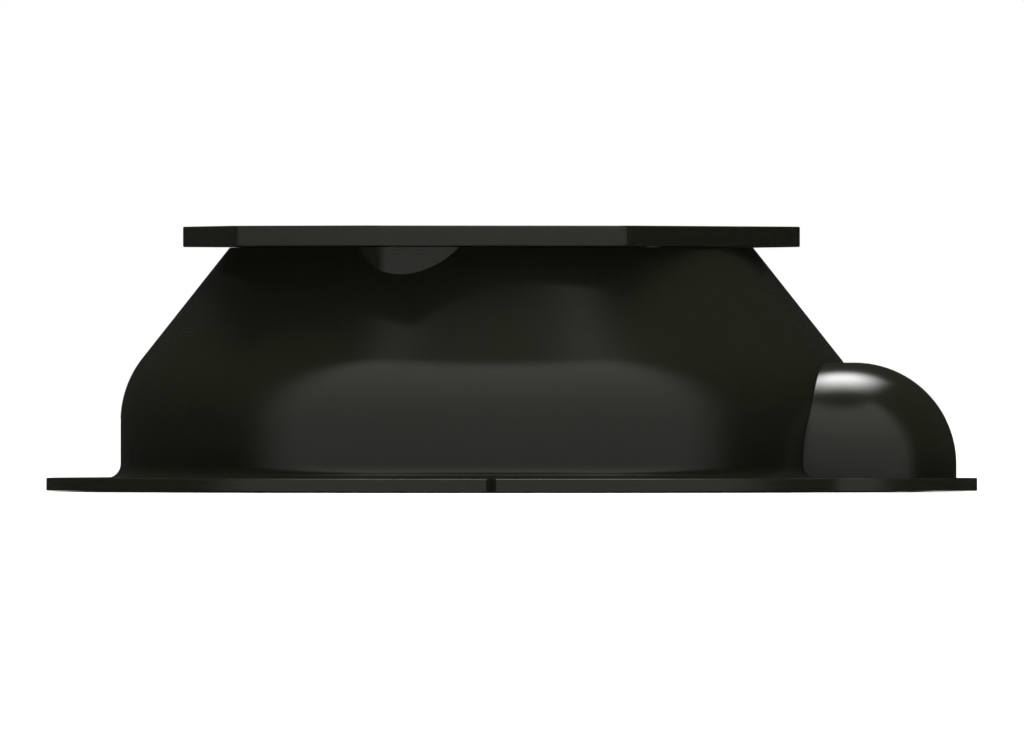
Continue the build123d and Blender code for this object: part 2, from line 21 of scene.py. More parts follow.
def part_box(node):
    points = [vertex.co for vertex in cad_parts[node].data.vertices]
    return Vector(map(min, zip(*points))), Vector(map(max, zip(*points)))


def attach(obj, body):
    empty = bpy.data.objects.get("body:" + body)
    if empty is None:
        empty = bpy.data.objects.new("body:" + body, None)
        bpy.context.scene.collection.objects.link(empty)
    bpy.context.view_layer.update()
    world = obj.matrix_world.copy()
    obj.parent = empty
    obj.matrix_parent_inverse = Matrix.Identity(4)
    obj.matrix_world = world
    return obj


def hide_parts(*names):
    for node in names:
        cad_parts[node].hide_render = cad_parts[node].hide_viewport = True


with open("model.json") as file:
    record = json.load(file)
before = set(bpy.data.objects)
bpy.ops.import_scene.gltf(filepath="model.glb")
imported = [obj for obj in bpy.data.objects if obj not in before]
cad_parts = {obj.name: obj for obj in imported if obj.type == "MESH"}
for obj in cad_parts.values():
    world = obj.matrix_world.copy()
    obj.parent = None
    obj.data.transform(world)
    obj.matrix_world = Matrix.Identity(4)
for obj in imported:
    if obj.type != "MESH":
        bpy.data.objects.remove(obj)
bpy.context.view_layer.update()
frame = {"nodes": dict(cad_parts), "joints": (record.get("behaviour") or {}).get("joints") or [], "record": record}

scene = bpy.context.scene
MM = 0.001

# %% [markdown]
# ## Places that come from the frame
#
# Blender must not resize anything. Nothing is resized in Blender, so the sizes that matter are
# read from the frame: the box of a node, a mount in the record, or the place of a joint. Only
# what the frame can't say, such as a fillet, is written down here, in millimetres.

# %% Read the main sizes
shell_low, shell_high = (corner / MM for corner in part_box("base_shell"))
cap_low, cap_high = (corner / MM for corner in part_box("cap_plate"))
dome_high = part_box("side_dome")[1] / MM
deck_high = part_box("fan_deck")[1] / MM
screen_low, screen_high = (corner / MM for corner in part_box("insect_screen"))
mounts = {mount["name"]: mount for mount in frame["record"]["mounts"]}
joints = {joint["name"]: joint for joint in frame["joints"]}

FLANGE_RADIUS = -shell_low.x
SHELL_TOP = shell_high.z
TOWER = [value / MM for value in joints["knob_turn"]["pos_m"][:2]]
SCREW_CIRCLE = mounts["flange_screws"]["dims"]["pcd_mm"] / 2
SCREW_COUNT = mounts["flange_screws"]["dims"]["count"]
SCREW_HOLE = mounts["flange_screws"]["dims"]["hole_r_mm"]
SUPPLY = [value / MM for value in mounts["supply_cable"]["pos_m"][:2]]
print(f"flange radius {FLANGE_RADIUS:.1f} mm, shell {SHELL_TOP:.2f} mm high, tower at {TOWER}")

# %% [markdown]
# ## Camera
#
# The vent is seen straight from the side, with no visible perspective. A very long lens far away
# does that, and it also keeps the other views of the object nearly parallel.

# %% Aim the camera
VIEW_WIDTH = 256.2 * MM       # what the picture's width covers at the vent's middle
VIEW_CENTRE = Vector((5.15, 0, 29.4)) * MM
LENS = 1240.0
SENSOR = 36.0

camera = bpy.data.objects.new("camera", bpy.data.cameras.new("camera"))
camera.data.lens = LENS
camera.data.sensor_width = SENSOR
camera.data.clip_end = 100
camera.location = VIEW_CENTRE + Vector((0, -VIEW_WIDTH * LENS / SENSOR, 0))
camera.rotation_euler = (math.radians(90), 0, 0)
scene.collection.objects.link(camera)
scene.camera = camera
print(f"camera {-camera.location.y:.2f} m away")

# %% [markdown]
# ## One small helper for nodes
#
# Shaders, Geometry Nodes and the world are all node trees, so one function adds any node. Its
# keyword settings are the node's own properties. Its inputs are given by name or number, and each
# is either a plain value or another node's output to link to.


# %% The node helper
def add(tree, kind, inputs=None, **settings):
    """Adds one node to a tree, with its settings and its input values or links."""
    made = tree.nodes.new(kind)
    for name, value in settings.items():
        setattr(made, name, value)
    for name, value in (inputs or {}).items():
        if isinstance(value, bpy.types.NodeSocket):
            tree.links.new(value, made.inputs[name])
        else:
            made.inputs[name].default_value = value
    return made


# %% [markdown]
# ## Light and floor
#
# Black plastic has almost no colour of its own: what the eye sees is the room in its gloss. So the
# light is designed as directions, painted into the world's sky, which is smoother than many lamps.
# A broad soft wall of light stands in front, up to about 68 degrees and round to both sides. One
# strong softbox hangs above and slightly behind, and makes the bright patch on the dome. The rest
# is dim. A wide sun lamp from straight above lights only the matt surfaces, so the floor is white
# and the shadow under the vent is soft. The camera itself sees plain white round the object.
# Values over 1 should clip to white as on a product picture, so the plain Standard curve is used.

# %% The sky: a soft wall in front and a softbox above
SKY_WALL = [(0, 0.46), (26, 0.56), (56, 0.80)]   # (height in degrees, brightness) of the wall
SKY_WALL_TOP = (60, 76)                          # degrees over which it fades out at the top
SKY_WALL_SIDE = (62, 84)                         # and at its sides
SKY_DIM = 0.02
SOFTBOX_ACROSS = (25, 3)                         # degrees aside over which it brightens
SOFTBOX_RISE = (87, 115)                         # degrees, from the front horizon over the top
SOFTBOX_FALL = (134, 114)
SOFTBOX_BRIGHT = 13.0
SUN_STRENGTH = 2.5
SUN_ANGLE = 30


def ramp(tree, value, start, end, low=0.0, high=1.0):
    """A smooth step of a value in degrees, given in radians, from low at start to high at end."""
    return add(tree, "ShaderNodeMapRange", {
        0: value, 1: math.radians(start), 2: math.radians(end), 3: low, 4: high},
        interpolation_type="SMOOTHSTEP").outputs[0]


def make_sky():
    """A world whose brightness depends on direction, and which the camera sees as plain white."""
    world = bpy.data.worlds.new("studio sky")
    scene.world = world
    world.use_nodes = True
    tree = world.node_tree
    tree.nodes.clear()
    kind = "ShaderNodeMath"
    direction = add(tree, "ShaderNodeTexCoord").outputs["Generated"]
    across, depth, up = add(tree, "ShaderNodeSeparateXYZ", {0: direction}).outputs
    front = add(tree, kind, {0: depth, 1: -1.0}, operation="MULTIPLY").outputs[0]
    turn = add(tree, kind, {0: across, 1: front}, operation="ARCTAN2").outputs[0]
    turn = add(tree, kind, {0: turn}, operation="ABSOLUTE").outputs[0]
    rise = add(tree, kind, {0: up}, operation="ARCSINE").outputs[0]
    over = add(tree, kind, {0: up, 1: front}, operation="ARCTAN2").outputs[0]
    aside = add(tree, kind, {0: across}, operation="ARCSINE").outputs[0]
    aside = add(tree, kind, {0: aside}, operation="ABSOLUTE").outputs[0]
    wall = add(tree, "ShaderNodeMapRange", {
        0: rise, 1: math.radians(SKY_WALL[0][0]), 2: math.radians(SKY_WALL[1][0]),
        3: SKY_WALL[0][1], 4: SKY_WALL[1][1]}).outputs[0]
    higher = add(tree, "ShaderNodeMapRange", {
        0: rise, 1: math.radians(SKY_WALL[1][0]), 2: math.radians(SKY_WALL[2][0]),
        3: 0.0, 4: SKY_WALL[2][1] - SKY_WALL[1][1]}).outputs[0]
    wall = add(tree, kind, {0: wall, 1: higher}, operation="ADD").outputs[0]
    for mask in (ramp(tree, rise, SKY_WALL_TOP[1], SKY_WALL_TOP[0]),
                 ramp(tree, turn, SKY_WALL_SIDE[1], SKY_WALL_SIDE[0])):
        wall = add(tree, kind, {0: wall, 1: mask}, operation="MULTIPLY").outputs[0]
    box = ramp(tree, aside, *SOFTBOX_ACROSS)
    for mask in (ramp(tree, over, *SOFTBOX_RISE), ramp(tree, over, *SOFTBOX_FALL)):
        box = add(tree, kind, {0: box, 1: mask}, operation="MULTIPLY").outputs[0]
    bright = add(tree, kind, {0: box, 1: SOFTBOX_BRIGHT, 2: SKY_DIM},
                 operation="MULTIPLY_ADD").outputs[0]
    bright = add(tree, kind, {0: bright, 1: wall}, operation="ADD").outputs[0]
    seen = add(tree, "ShaderNodeLightPath").outputs["Is Camera Ray"]
    strength = add(tree, "ShaderNodeMix", {0: seen, 2: bright, 3: 1.0}).outputs[0]
    sky = add(tree, "ShaderNodeBackground", {0: (1, 1, 1, 1), 1: strength})
    add(tree, "ShaderNodeOutputWorld", {0: sky.outputs[0]})
    return world


def make_sun():
    """A wide sun straight above that lights matt surfaces but is not seen in the gloss."""
    light = bpy.data.lights.new("sun", "SUN")
    light.energy = SUN_STRENGTH
    light.angle = math.radians(SUN_ANGLE)
    sun = bpy.data.objects.new("sun", light)
    sun.location.z = 1.0
    sun.visible_glossy = False
    scene.collection.objects.link(sun)
    return sun


make_sky()
make_sun()
scene.view_settings.view_transform = "Standard"
print("sky wall and softbox painted, sun hung above")


# %% Colours, and the floor
def hex_colour(text):
    """An sRGB hex colour as linear red, green, blue and alpha."""
    channels = [int(text[i:i + 2], 16) / 255 for i in (1, 3, 5)]
    linear = [c / 12.92 if c <= 0.04045 else ((c + 0.055) / 1.055) ** 2.4 for c in channels]
    return (*linear, 1.0)


def make_floor():
    """A plain pale floor just under the vent, kept out of the plastic's reflections."""
    half = 14.0
    mesh = bpy.data.meshes.new("floor")
    mesh.from_pydata([(-half, -half, 0), (half, -half, 0), (half, half, 0), (-half, half, 0)],
                     [], [(0, 1, 2, 3)])
    floor = bpy.data.objects.new("floor", mesh)
    floor.location.z = -0.3 * MM
    floor.visible_glossy = False
    scene.collection.objects.link(floor)
    paper = bpy.data.materials.new("Studio paper, matt, pale")
    paper.use_nodes = True
    shader = paper.node_tree.nodes["Principled BSDF"]
    shader.inputs["Base Color"].default_value = hex_colour("#ededeb")
    shader.inputs["Roughness"].default_value = 1.0
    shader.inputs["Specular IOR Level"].default_value = 0.0
    clear = add(paper.node_tree, "ShaderNodeBsdfTransparent")
    under = add(paper.node_tree, "ShaderNodeNewGeometry").outputs["Backfacing"]
    sides = add(paper.node_tree, "ShaderNodeMixShader", {
        0: under, 1: shader.outputs[0], 2: clear.outputs[0]})
    add(paper.node_tree, "ShaderNodeOutputMaterial", {0: sides.outputs[0]}, is_active_output=True)
    mesh.materials.append(paper)
    return floor


make_floor()
print("floor laid")

# %% [markdown]
# ## Finishes
#
# Each finish is one Principled shader. Its base colour is mixed from two close colours by noise,
# its roughness wanders a little, and a fine bump gives the grain that moulding, turning or casting
# leaves. The patterns are laid out in millimetres on Object coordinates. Pointiness, which is high
# on outer edges, lightens and roughens the edges that hands and weather reach first.


# %% A function that makes a finish
def finish_of(name, colour, second, roughness, metallic=0.0, grain=0.4, bump=0.02,
              wear=0.15, wear_colour="#55554d", ior=None, coat=0.0):
    """A procedural material. Grain is the pattern's size in millimetres, bump its depth in mm."""
    material = bpy.data.materials.new(name)
    material.use_nodes = True
    tree = material.node_tree
    tree.nodes.clear()
    place = add(tree, "ShaderNodeTexCoord").outputs["Object"]
    broad = add(tree, "ShaderNodeTexNoise", {
        "Vector": place, "Scale": 1 / (40 * MM), "Detail": 3.0, "Roughness": 0.55})
    fine = add(tree, "ShaderNodeTexNoise", {
        "Vector": place, "Scale": 1 / (grain * MM), "Detail": 2.0, "Roughness": 0.5})
    mixed = add(tree, "ShaderNodeMix", {0: broad.outputs["Fac"]}, data_type="RGBA")
    mixed.inputs[6].default_value = hex_colour(colour)
    mixed.inputs[7].default_value = hex_colour(second)
    edges = add(tree, "ShaderNodeNewGeometry")
    edge = add(tree, "ShaderNodeMapRange", {
        0: edges.outputs["Pointiness"], 1: 0.52, 2: 0.62, 3: 0.0, 4: wear})
    worn = add(tree, "ShaderNodeMath", {0: edge.outputs[0], 1: broad.outputs["Fac"]},
               operation="MULTIPLY")
    colour_out = add(tree, "ShaderNodeMix", {0: worn.outputs[0], 6: mixed.outputs[2]},
                     data_type="RGBA")
    colour_out.inputs[7].default_value = hex_colour(wear_colour)
    rough = add(tree, "ShaderNodeMapRange", {
        0: broad.outputs["Fac"], 1: 0.3, 2: 0.7, 3: roughness * 0.9, 4: roughness * 1.12})
    rougher = add(tree, "ShaderNodeMath", {0: rough.outputs[0], 1: worn.outputs[0]},
                  operation="ADD")
    relief = add(tree, "ShaderNodeBump", {
        "Height": fine.outputs["Fac"], "Strength": 1.0, "Distance": bump * MM})
    shader = add(tree, "ShaderNodeBsdfPrincipled", {
        "Base Color": colour_out.outputs[2], "Roughness": rougher.outputs[0],
        "Normal": relief.outputs[0], "Metallic": metallic})
    if ior:
        shader.inputs["IOR"].default_value = ior
    if coat:
        shader.inputs["Coat Weight"].default_value = coat
        shader.inputs["Coat Roughness"].default_value = 0.06
    add(tree, "ShaderNodeOutputMaterial", {0: shader.outputs[0]})
    return material


# %% The finishes, one for each real material
# ASA moulded in a polished tool: a deep, slightly olive black with a clear gloss.
asa_gloss = finish_of("ASA, moulded, polished black", "#181910", "#1b1c13", 0.17,
                      grain=1.6, bump=0.004, wear=0.12, ior=1.50)
# Glass-filled nylon from a spark-eroded tool: dark grey with a fine even grain.
nylon_grain = finish_of("Nylon, glass-filled, grained", "#2b2c2e", "#323335", 0.55,
                        grain=0.5, bump=0.03, wear=0.3, wear_colour="#5a5b5d")
# PBT fan plastic: black, satin from a fine tool.
pbt_satin = finish_of("PBT, moulded, satin black", "#1b1c1e", "#212225", 0.38,
                      grain=0.7, bump=0.01, wear=0.25)
# ABS knob plastic: light grey, satin, the one piece that a hand touches.
abs_grey = finish_of("ABS, moulded, light grey", "#b9b8b0", "#c3c2ba", 0.42,
                     grain=0.6, bump=0.012, wear=0.5, wear_colour="#8f8d84")
# Polyamide terminal block: ivory, slightly translucent in life, satin.
polyamide_ivory = finish_of("Polyamide, moulded, ivory", "#cfc9b4", "#d8d2bf", 0.45,
                            grain=0.5, bump=0.008, wear=0.2, wear_colour="#a9a28c")
# Natural nylon for sliding parts: milky white, waxy.
nylon_natural = finish_of("Nylon, turned, natural", "#d9d5c6", "#e0ddd0", 0.36,
                          grain=0.9, bump=0.01, wear=0.2, wear_colour="#b5b09e")
# EPDM seal rubber: soft, dull, nearly black, with a sawn-foam grain.
epdm_rubber = finish_of("EPDM, extruded, matt", "#141414", "#1c1c1c", 0.82,
                        grain=0.5, bump=0.05, wear=0.2, wear_colour="#3c3c3a")
# PVC lead sleeve: dull black, smooth.
pvc_sleeve = finish_of("PVC, extruded, black", "#18181a", "#1f1f22", 0.5,
                       grain=1.2, bump=0.01, wear=0.1)
# Zinc-plated steel screws: bright grey with a slight blue-yellow cast.
zinc_steel = finish_of("Steel, zinc plated", "#b6b7b2", "#a9aaa9", 0.32, metallic=1.0,
                       grain=0.3, bump=0.006, wear=0.3, wear_colour="#d8d8d4")
# Stainless steel, turned: brighter and a little warmer.
stainless = finish_of("Stainless steel, turned", "#c2c1bd", "#b7b6b2", 0.24, metallic=1.0,
                      grain=0.3, bump=0.005, wear=0.2, wear_colour="#dedcd8")
# Blued spring steel clips.
spring_steel = finish_of("Spring steel, blued", "#3a3d42", "#44474c", 0.34, metallic=1.0,
                         grain=0.4, bump=0.006, wear=0.5, wear_colour="#8d8f92")
# Stamped laminations, varnished.
lamination_steel = finish_of("Electrical steel, varnished", "#6b6c70", "#5d5e62", 0.45,
                             metallic=1.0, grain=0.35, bump=0.03, wear=0.3)
# Bonded ferrite magnet: charcoal, dull.
ferrite = finish_of("Ferrite, bonded", "#3a3a3d", "#444448", 0.7, grain=0.3, bump=0.03, wear=0.2)
# Enamelled copper wire: orange-brown under clear enamel.
enamelled_copper = finish_of("Copper wire, enamelled", "#b8612c", "#a85424", 0.28,
                             metallic=1.0, grain=0.4, bump=0.01, wear=0.1)
# Sintered bronze: porous, oily, brown gold.
sintered_bronze = finish_of("Bronze, sintered", "#a87f45", "#94703b", 0.5, metallic=1.0,
                            grain=0.25, bump=0.03, wear=0.2, wear_colour="#caa264")
# Circuit board: green solder mask over glass fibre.
circuit_board = finish_of("Circuit board, solder mask", "#14502a", "#185a30", 0.33,
                          grain=0.5, bump=0.008, wear=0.3, wear_colour="#6f8a55")
# PVC-coated glass fibre yarn for the insect screen.
screen_yarn = finish_of("Glass fibre yarn, coated", "#2a2b2c", "#353637", 0.6,
                        grain=0.3, bump=0.02, wear=0.1)
print(len(bpy.data.materials), "materials")

# %% [markdown]
# ## Turned forms with Geometry Nodes
#
# The shell, the dome, the bosses and the knob are all outlines carried round an axis, as on a
# lathe. Blender's Spin tool or a Screw modifier could do that, but the flange is not quite round:
# it has a lobe under the dome. A Geometry Nodes tree can follow that rule. It lays a grid of
# vertices, one row for each outline point and one column for each step round the axis, and puts
# each vertex where the outline says. Outside a fixed radius, the rows are pushed out to reach the
# lobe, which is a second circle joined to the first by a smooth maximum. The same tree can press a
# helical thread groove into the outline, and hollows for a grip, so it also makes screws and knobs.


# %% Build the turning tree
def socket_in(tree, name, kind, value=None):
    """A named input of a Geometry Nodes tree."""
    made = tree.interface.new_socket(name, in_out="INPUT", socket_type=kind)
    if value is not None:
        made.default_value = value
    return made


def make_turning_tree():
    """The tree that carries an outline, given as a mesh in the XZ plane, round the Z axis."""
    tree = bpy.data.node_groups.new("turned outline", "GeometryNodeTree")
    socket_in(tree, "Outline", "NodeSocketGeometry")
    socket_in(tree, "Steps", "NodeSocketInt", 256)
    socket_in(tree, "Flange Radius", "NodeSocketFloat", 1.0)
    socket_in(tree, "Fixed Radius", "NodeSocketFloat", 1.0)
    socket_in(tree, "Full Radius", "NodeSocketFloat", 2.0)
    socket_in(tree, "Lobe Distance", "NodeSocketFloat", 0.0)
    socket_in(tree, "Lobe Radius", "NodeSocketFloat", 0.0)
    socket_in(tree, "Lobe Turn", "NodeSocketFloat", 0.0)
    socket_in(tree, "Corner", "NodeSocketFloat", 0.0)
    for name in ("Thread Lead", "Thread Starts", "Thread Low", "Thread High"):
        socket_in(tree, name, "NodeSocketFloat", 1.0)
    for name in ("Thread Depth", "Grip Count", "Grip Depth"):
        socket_in(tree, name, "NodeSocketFloat", 0.0)
    socket_in(tree, "Grip Radius", "NodeSocketFloat", 1.0)
    socket_in(tree, "Material", "NodeSocketMaterial")
    tree.interface.new_socket("Mesh", in_out="OUTPUT", socket_type="NodeSocketGeometry")
    given = add(tree, "NodeGroupInput").outputs
    math_node = "ShaderNodeMath"
    count = add(tree, "GeometryNodeAttributeDomainSize", {0: given["Outline"]}).outputs[0]
    rows = add(tree, math_node, {0: count, 1: 1.0}, operation="ADD").outputs[0]
    columns = add(tree, math_node, {0: given["Steps"], 1: 1.0}, operation="ADD").outputs[0]
    grid = add(tree, "GeometryNodeMeshGrid", {"Vertices X": rows, "Vertices Y": columns})
    index = add(tree, "GeometryNodeInputIndex").outputs[0]
    row = add(tree, math_node, {0: index, 1: columns}, operation="DIVIDE").outputs[0]
    row = add(tree, math_node, {0: row}, operation="FLOOR").outputs[0]
    row = add(tree, math_node, {0: row, 1: count}, operation="MODULO").outputs[0]
    column = add(tree, math_node, {0: index, 1: columns}, operation="MODULO").outputs[0]
    point = add(tree, "GeometryNodeSampleIndex", {
        "Geometry": given["Outline"], "Value": add(tree, "GeometryNodeInputPosition").outputs[0],
        "Index": row}, data_type="FLOAT_VECTOR", domain="POINT").outputs[0]
    radius, _, height = add(tree, "ShaderNodeSeparateXYZ", {0: point}).outputs
    share = add(tree, math_node, {0: column, 1: given["Steps"]}, operation="DIVIDE").outputs[0]
    angle = add(tree, math_node, {0: share, 1: math.tau}, operation="MULTIPLY").outputs[0]
    # The lobe's edge along this direction, from the middle of the flange.
    swing = add(tree, math_node, {0: angle, 1: given["Lobe Turn"]}, operation="SUBTRACT").outputs[0]
    ahead = add(tree, math_node, {0: swing}, operation="COSINE").outputs[0]
    aside = add(tree, math_node, {0: swing}, operation="SINE").outputs[0]
    ahead = add(tree, math_node, {0: ahead, 1: given["Lobe Distance"]},
                operation="MULTIPLY").outputs[0]
    aside = add(tree, math_node, {0: aside, 1: given["Lobe Distance"]},
                operation="MULTIPLY").outputs[0]
    aside = add(tree, math_node, {0: aside, 1: aside}, operation="MULTIPLY").outputs[0]
    chord = add(tree, math_node, {0: given["Lobe Radius"], 1: given["Lobe Radius"]},
                operation="MULTIPLY").outputs[0]
    chord = add(tree, math_node, {0: chord, 1: aside}, operation="SUBTRACT").outputs[0]
    chord = add(tree, math_node, {0: chord, 1: 0.0}, operation="MAXIMUM").outputs[0]
    chord = add(tree, math_node, {0: chord}, operation="SQRT").outputs[0]
    lobe = add(tree, math_node, {0: ahead, 1: chord}, operation="ADD").outputs[0]
    edge = add(tree, math_node, {0: given["Flange Radius"], 1: lobe, 2: given["Corner"]},
               operation="SMOOTH_MAX").outputs[0]
    growth = add(tree, math_node, {0: edge, 1: given["Flange Radius"]},
                 operation="SUBTRACT").outputs[0]
    pull = add(tree, "ShaderNodeMapRange", {
        0: radius, 1: given["Fixed Radius"], 2: given["Full Radius"], 3: 0.0, 4: 1.0}).outputs[0]
    radius = add(tree, math_node, {0: growth, 1: pull, 2: radius},
                 operation="MULTIPLY_ADD").outputs[0]
    # The thread: a rounded groove that climbs one lead in one turn, between two heights.
    climb = add(tree, math_node, {0: height, 1: given["Thread Lead"]}, operation="DIVIDE").outputs[0]
    climb = add(tree, math_node, {0: climb, 1: share}, operation="SUBTRACT").outputs[0]
    climb = add(tree, math_node, {0: climb, 1: given["Thread Starts"]},
                operation="MULTIPLY").outputs[0]
    wave = add(tree, math_node, {0: climb, 1: math.tau}, operation="MULTIPLY").outputs[0]
    wave = add(tree, math_node, {0: wave}, operation="COSINE").outputs[0]
    groove = add(tree, "ShaderNodeMapRange", {
        0: wave, 1: -1.0, 2: 1.0, 3: 0.0, 4: given["Thread Depth"]}).outputs[0]
    for start, way in (("Thread Low", 1), ("Thread High", -1)):
        inside = add(tree, math_node, {0: height, 1: given[start]}, operation="SUBTRACT").outputs[0]
        inside = add(tree, "ShaderNodeMapRange", {
            0: inside, 1: 0.0, 2: 0.0005 * way, 3: 0.0, 4: 1.0}).outputs[0]
        groove = add(tree, math_node, {0: groove, 1: inside}, operation="MULTIPLY").outputs[0]
    radius = add(tree, math_node, {0: radius, 1: groove}, operation="SUBTRACT").outputs[0]
    # The grip: hollows round the rim, only near the outer radius.
    hollow = add(tree, math_node, {0: angle, 1: given["Grip Count"]}, operation="MULTIPLY").outputs[0]
    hollow = add(tree, math_node, {0: hollow}, operation="COSINE").outputs[0]
    hollow = add(tree, math_node, {0: hollow, 1: 0.0}, operation="MAXIMUM").outputs[0]
    hollow = add(tree, math_node, {0: hollow, 1: given["Grip Depth"]},
                 operation="MULTIPLY").outputs[0]
    reach = add(tree, math_node, {0: radius, 1: given["Grip Radius"]}, operation="DIVIDE").outputs[0]
    reach = add(tree, "ShaderNodeMapRange", {0: reach, 1: 0.75, 2: 1.0, 3: 0.0, 4: 1.0}).outputs[0]
    hollow = add(tree, math_node, {0: hollow, 1: reach}, operation="MULTIPLY").outputs[0]
    radius = add(tree, math_node, {0: radius, 1: hollow}, operation="SUBTRACT").outputs[0]
    cosine = add(tree, math_node, {0: angle}, operation="COSINE").outputs[0]
    sine = add(tree, math_node, {0: angle}, operation="SINE").outputs[0]
    x = add(tree, math_node, {0: radius, 1: cosine}, operation="MULTIPLY").outputs[0]
    y = add(tree, math_node, {0: radius, 1: sine}, operation="MULTIPLY").outputs[0]
    place = add(tree, "ShaderNodeCombineXYZ", {0: x, 1: y, 2: height}).outputs[0]
    moved = add(tree, "GeometryNodeSetPosition", {"Geometry": grid.outputs[0], "Position": place})
    closed = add(tree, "GeometryNodeMergeByDistance", {
        "Geometry": moved.outputs[0], "Distance": 1e-6})
    solid = add(tree, "GeometryNodeRealizeInstances", {0: closed.outputs[0]})
    named = add(tree, "GeometryNodeSetMaterial", {
        "Geometry": solid.outputs[0], "Material": given["Material"]})
    add(tree, "NodeGroupOutput", {0: named.outputs[0]})
    return tree


turning = make_turning_tree()
print("turning tree:", len(turning.nodes), "nodes")

# %% [markdown]
# ## Helpers for outlines and meshes
#
# An outline is a list of (radius, height) corners in millimetres. A third number rounds a corner
# with an arc. Straight stretches get an extra point close to each arc, because smooth shading
# would otherwise drag the arc's turn across the whole stretch.


# %% Outline and mesh helpers
def arc_points(before, corner, after, radius, steps):
    """Points of the arc that rounds one corner, with a point just before and after it."""
    corner, before, after = Vector(corner), Vector(before), Vector(after)
    back, ahead = (before - corner).normalized(), (after - corner).normalized()
    half = back.angle(ahead) / 2
    reach = radius / math.tan(half)
    centre = corner + (back + ahead).normalized() * (radius / math.sin(half))
    start, end = corner + back * reach - centre, corner + ahead * reach - centre
    sweep = math.pi - 2 * half
    side = 1 if start.x * end.y - start.y * end.x > 0 else -1
    points = []
    for i in range(steps + 1):
        turn = side * sweep * i / steps
        cosine, sine = math.cos(turn), math.sin(turn)
        points.append((centre.x + start.x * cosine - start.y * sine,
                       centre.y + start.x * sine + start.y * cosine))
    lead = min(0.6, radius * 0.25)
    room_back = (before - corner).length - reach
    room_ahead = (after - corner).length - reach
    if room_back > 2 * lead:
        points.insert(0, tuple(corner + back * (reach + lead)))
    if room_ahead > 2 * lead:
        points.append(tuple(corner + ahead * (reach + lead)))
    return points


def rounded(corners, steps=10):
    """A closed outline with its marked corners rounded."""
    points = []
    for i, corner in enumerate(corners):
        if len(corner) == 2:
            points.append(corner)
            continue
        before, after = corners[i - 1][:2], corners[(i + 1) % len(corners)][:2]
        size = corner[2]
        count = max(3, min(24, int(steps * size ** 0.4)))
        points += arc_points(before, corner[:2], after, size, count)
    return points


def grown(name, tree, mesh, values):
    """Runs a Geometry Nodes tree on a mesh and keeps the result as a plain object at the origin."""
    holder = bpy.data.objects.new(name + "_source", mesh)
    scene.collection.objects.link(holder)
    modifier = holder.modifiers.new("grow", "NODES")
    modifier.node_group = tree
    for item in tree.interface.items_tree:
        if item.item_type == "SOCKET" and item.in_out == "INPUT" and item.name in values:
            modifier[item.identifier] = values[item.name]
    graph = bpy.context.evaluated_depsgraph_get()
    made = bpy.data.meshes.new_from_object(holder.evaluated_get(graph))
    bpy.data.objects.remove(holder)
    made.name = name
    piece = bpy.data.objects.new(name, made)
    scene.collection.objects.link(piece)
    return piece


def face_outwards(piece):
    """Makes every face of a closed mesh point out."""
    work = bmesh.new()
    work.from_mesh(piece.data)
    bmesh.ops.remove_doubles(work, verts=work.verts, dist=1e-7)
    bare = [edge for edge in work.edges if not edge.link_faces]
    bmesh.ops.delete(work, geom=bare, context="EDGES")
    bmesh.ops.recalc_face_normals(work, faces=work.faces)
    work.to_mesh(piece.data)
    work.free()
    return piece


def turned(name, outline, material, steps=128, at=(0, 0), rule=None):
    """A solid turned from an outline in millimetres, about a vertical axis at a place.

    The rule holds the turning tree's other inputs: the lobe, a thread, or a grip.
    """
    mesh = bpy.data.meshes.new(name + "_outline")
    count = len(outline)
    mesh.from_pydata([(r * MM, 0, z * MM) for r, z in outline],
                     [(i, (i + 1) % count) for i in range(count)], [])
    values = {"Steps": steps, "Material": material, **(rule or {})}
    piece = face_outwards(grown(name, turning, mesh, values))
    piece.data.transform(Matrix.Translation((at[0] * MM, at[1] * MM, 0)))
    return piece


def carved(piece, others, operation="DIFFERENCE"):
    """Cuts other solids out of a piece, or joins them to it, and removes them."""
    for other in others:
        modifier = piece.modifiers.new("carve", "BOOLEAN")
        modifier.operation = operation
        modifier.solver = "EXACT"
        modifier.object = other
    graph = bpy.context.evaluated_depsgraph_get()
    made = bpy.data.meshes.new_from_object(piece.evaluated_get(graph))
    piece.modifiers.clear()
    piece.data = made
    for other in others:
        bpy.data.objects.remove(other)
    return piece


def shaded(piece, material, sharp=30):
    """One material, smooth faces and sharp edges where the surface really turns."""
    mesh = piece.data
    work = bmesh.new()
    work.from_mesh(mesh)
    bmesh.ops.remove_doubles(work, verts=work.verts, dist=1e-6)
    work.to_mesh(mesh)
    work.free()
    if mesh.has_custom_normals:
        mesh.attributes.remove(mesh.attributes["custom_normal"])
    mesh.materials.clear()
    mesh.materials.append(material)
    for face in mesh.polygons:
        face.material_index = 0
    mesh.shade_smooth()
    mesh.set_sharp_from_angle(angle=math.radians(sharp))
    return piece


def settled(piece, body, *nodes, slot=None):
    """The piece rides on its body and stands for its nodes, which are hidden. The slot is not used."""
    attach(piece, body)
    if nodes:
        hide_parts(*nodes)
    print(f"{piece.name}: {len(piece.data.polygons)} faces")
    return piece


def around(distance, turn):
    """The place at a distance from the vent's axis, at a turn in degrees from +X."""
    return (distance * math.cos(math.radians(turn)), distance * math.sin(math.radians(turn)))


def pin(name, radius, low, high, at=(0, 0), steps=64):
    """A plain round bar between two heights, used to join or to cut."""
    outline = [(0, low), (radius, low), (radius, high), (0, high)]
    return turned(name, outline, None, steps, at)


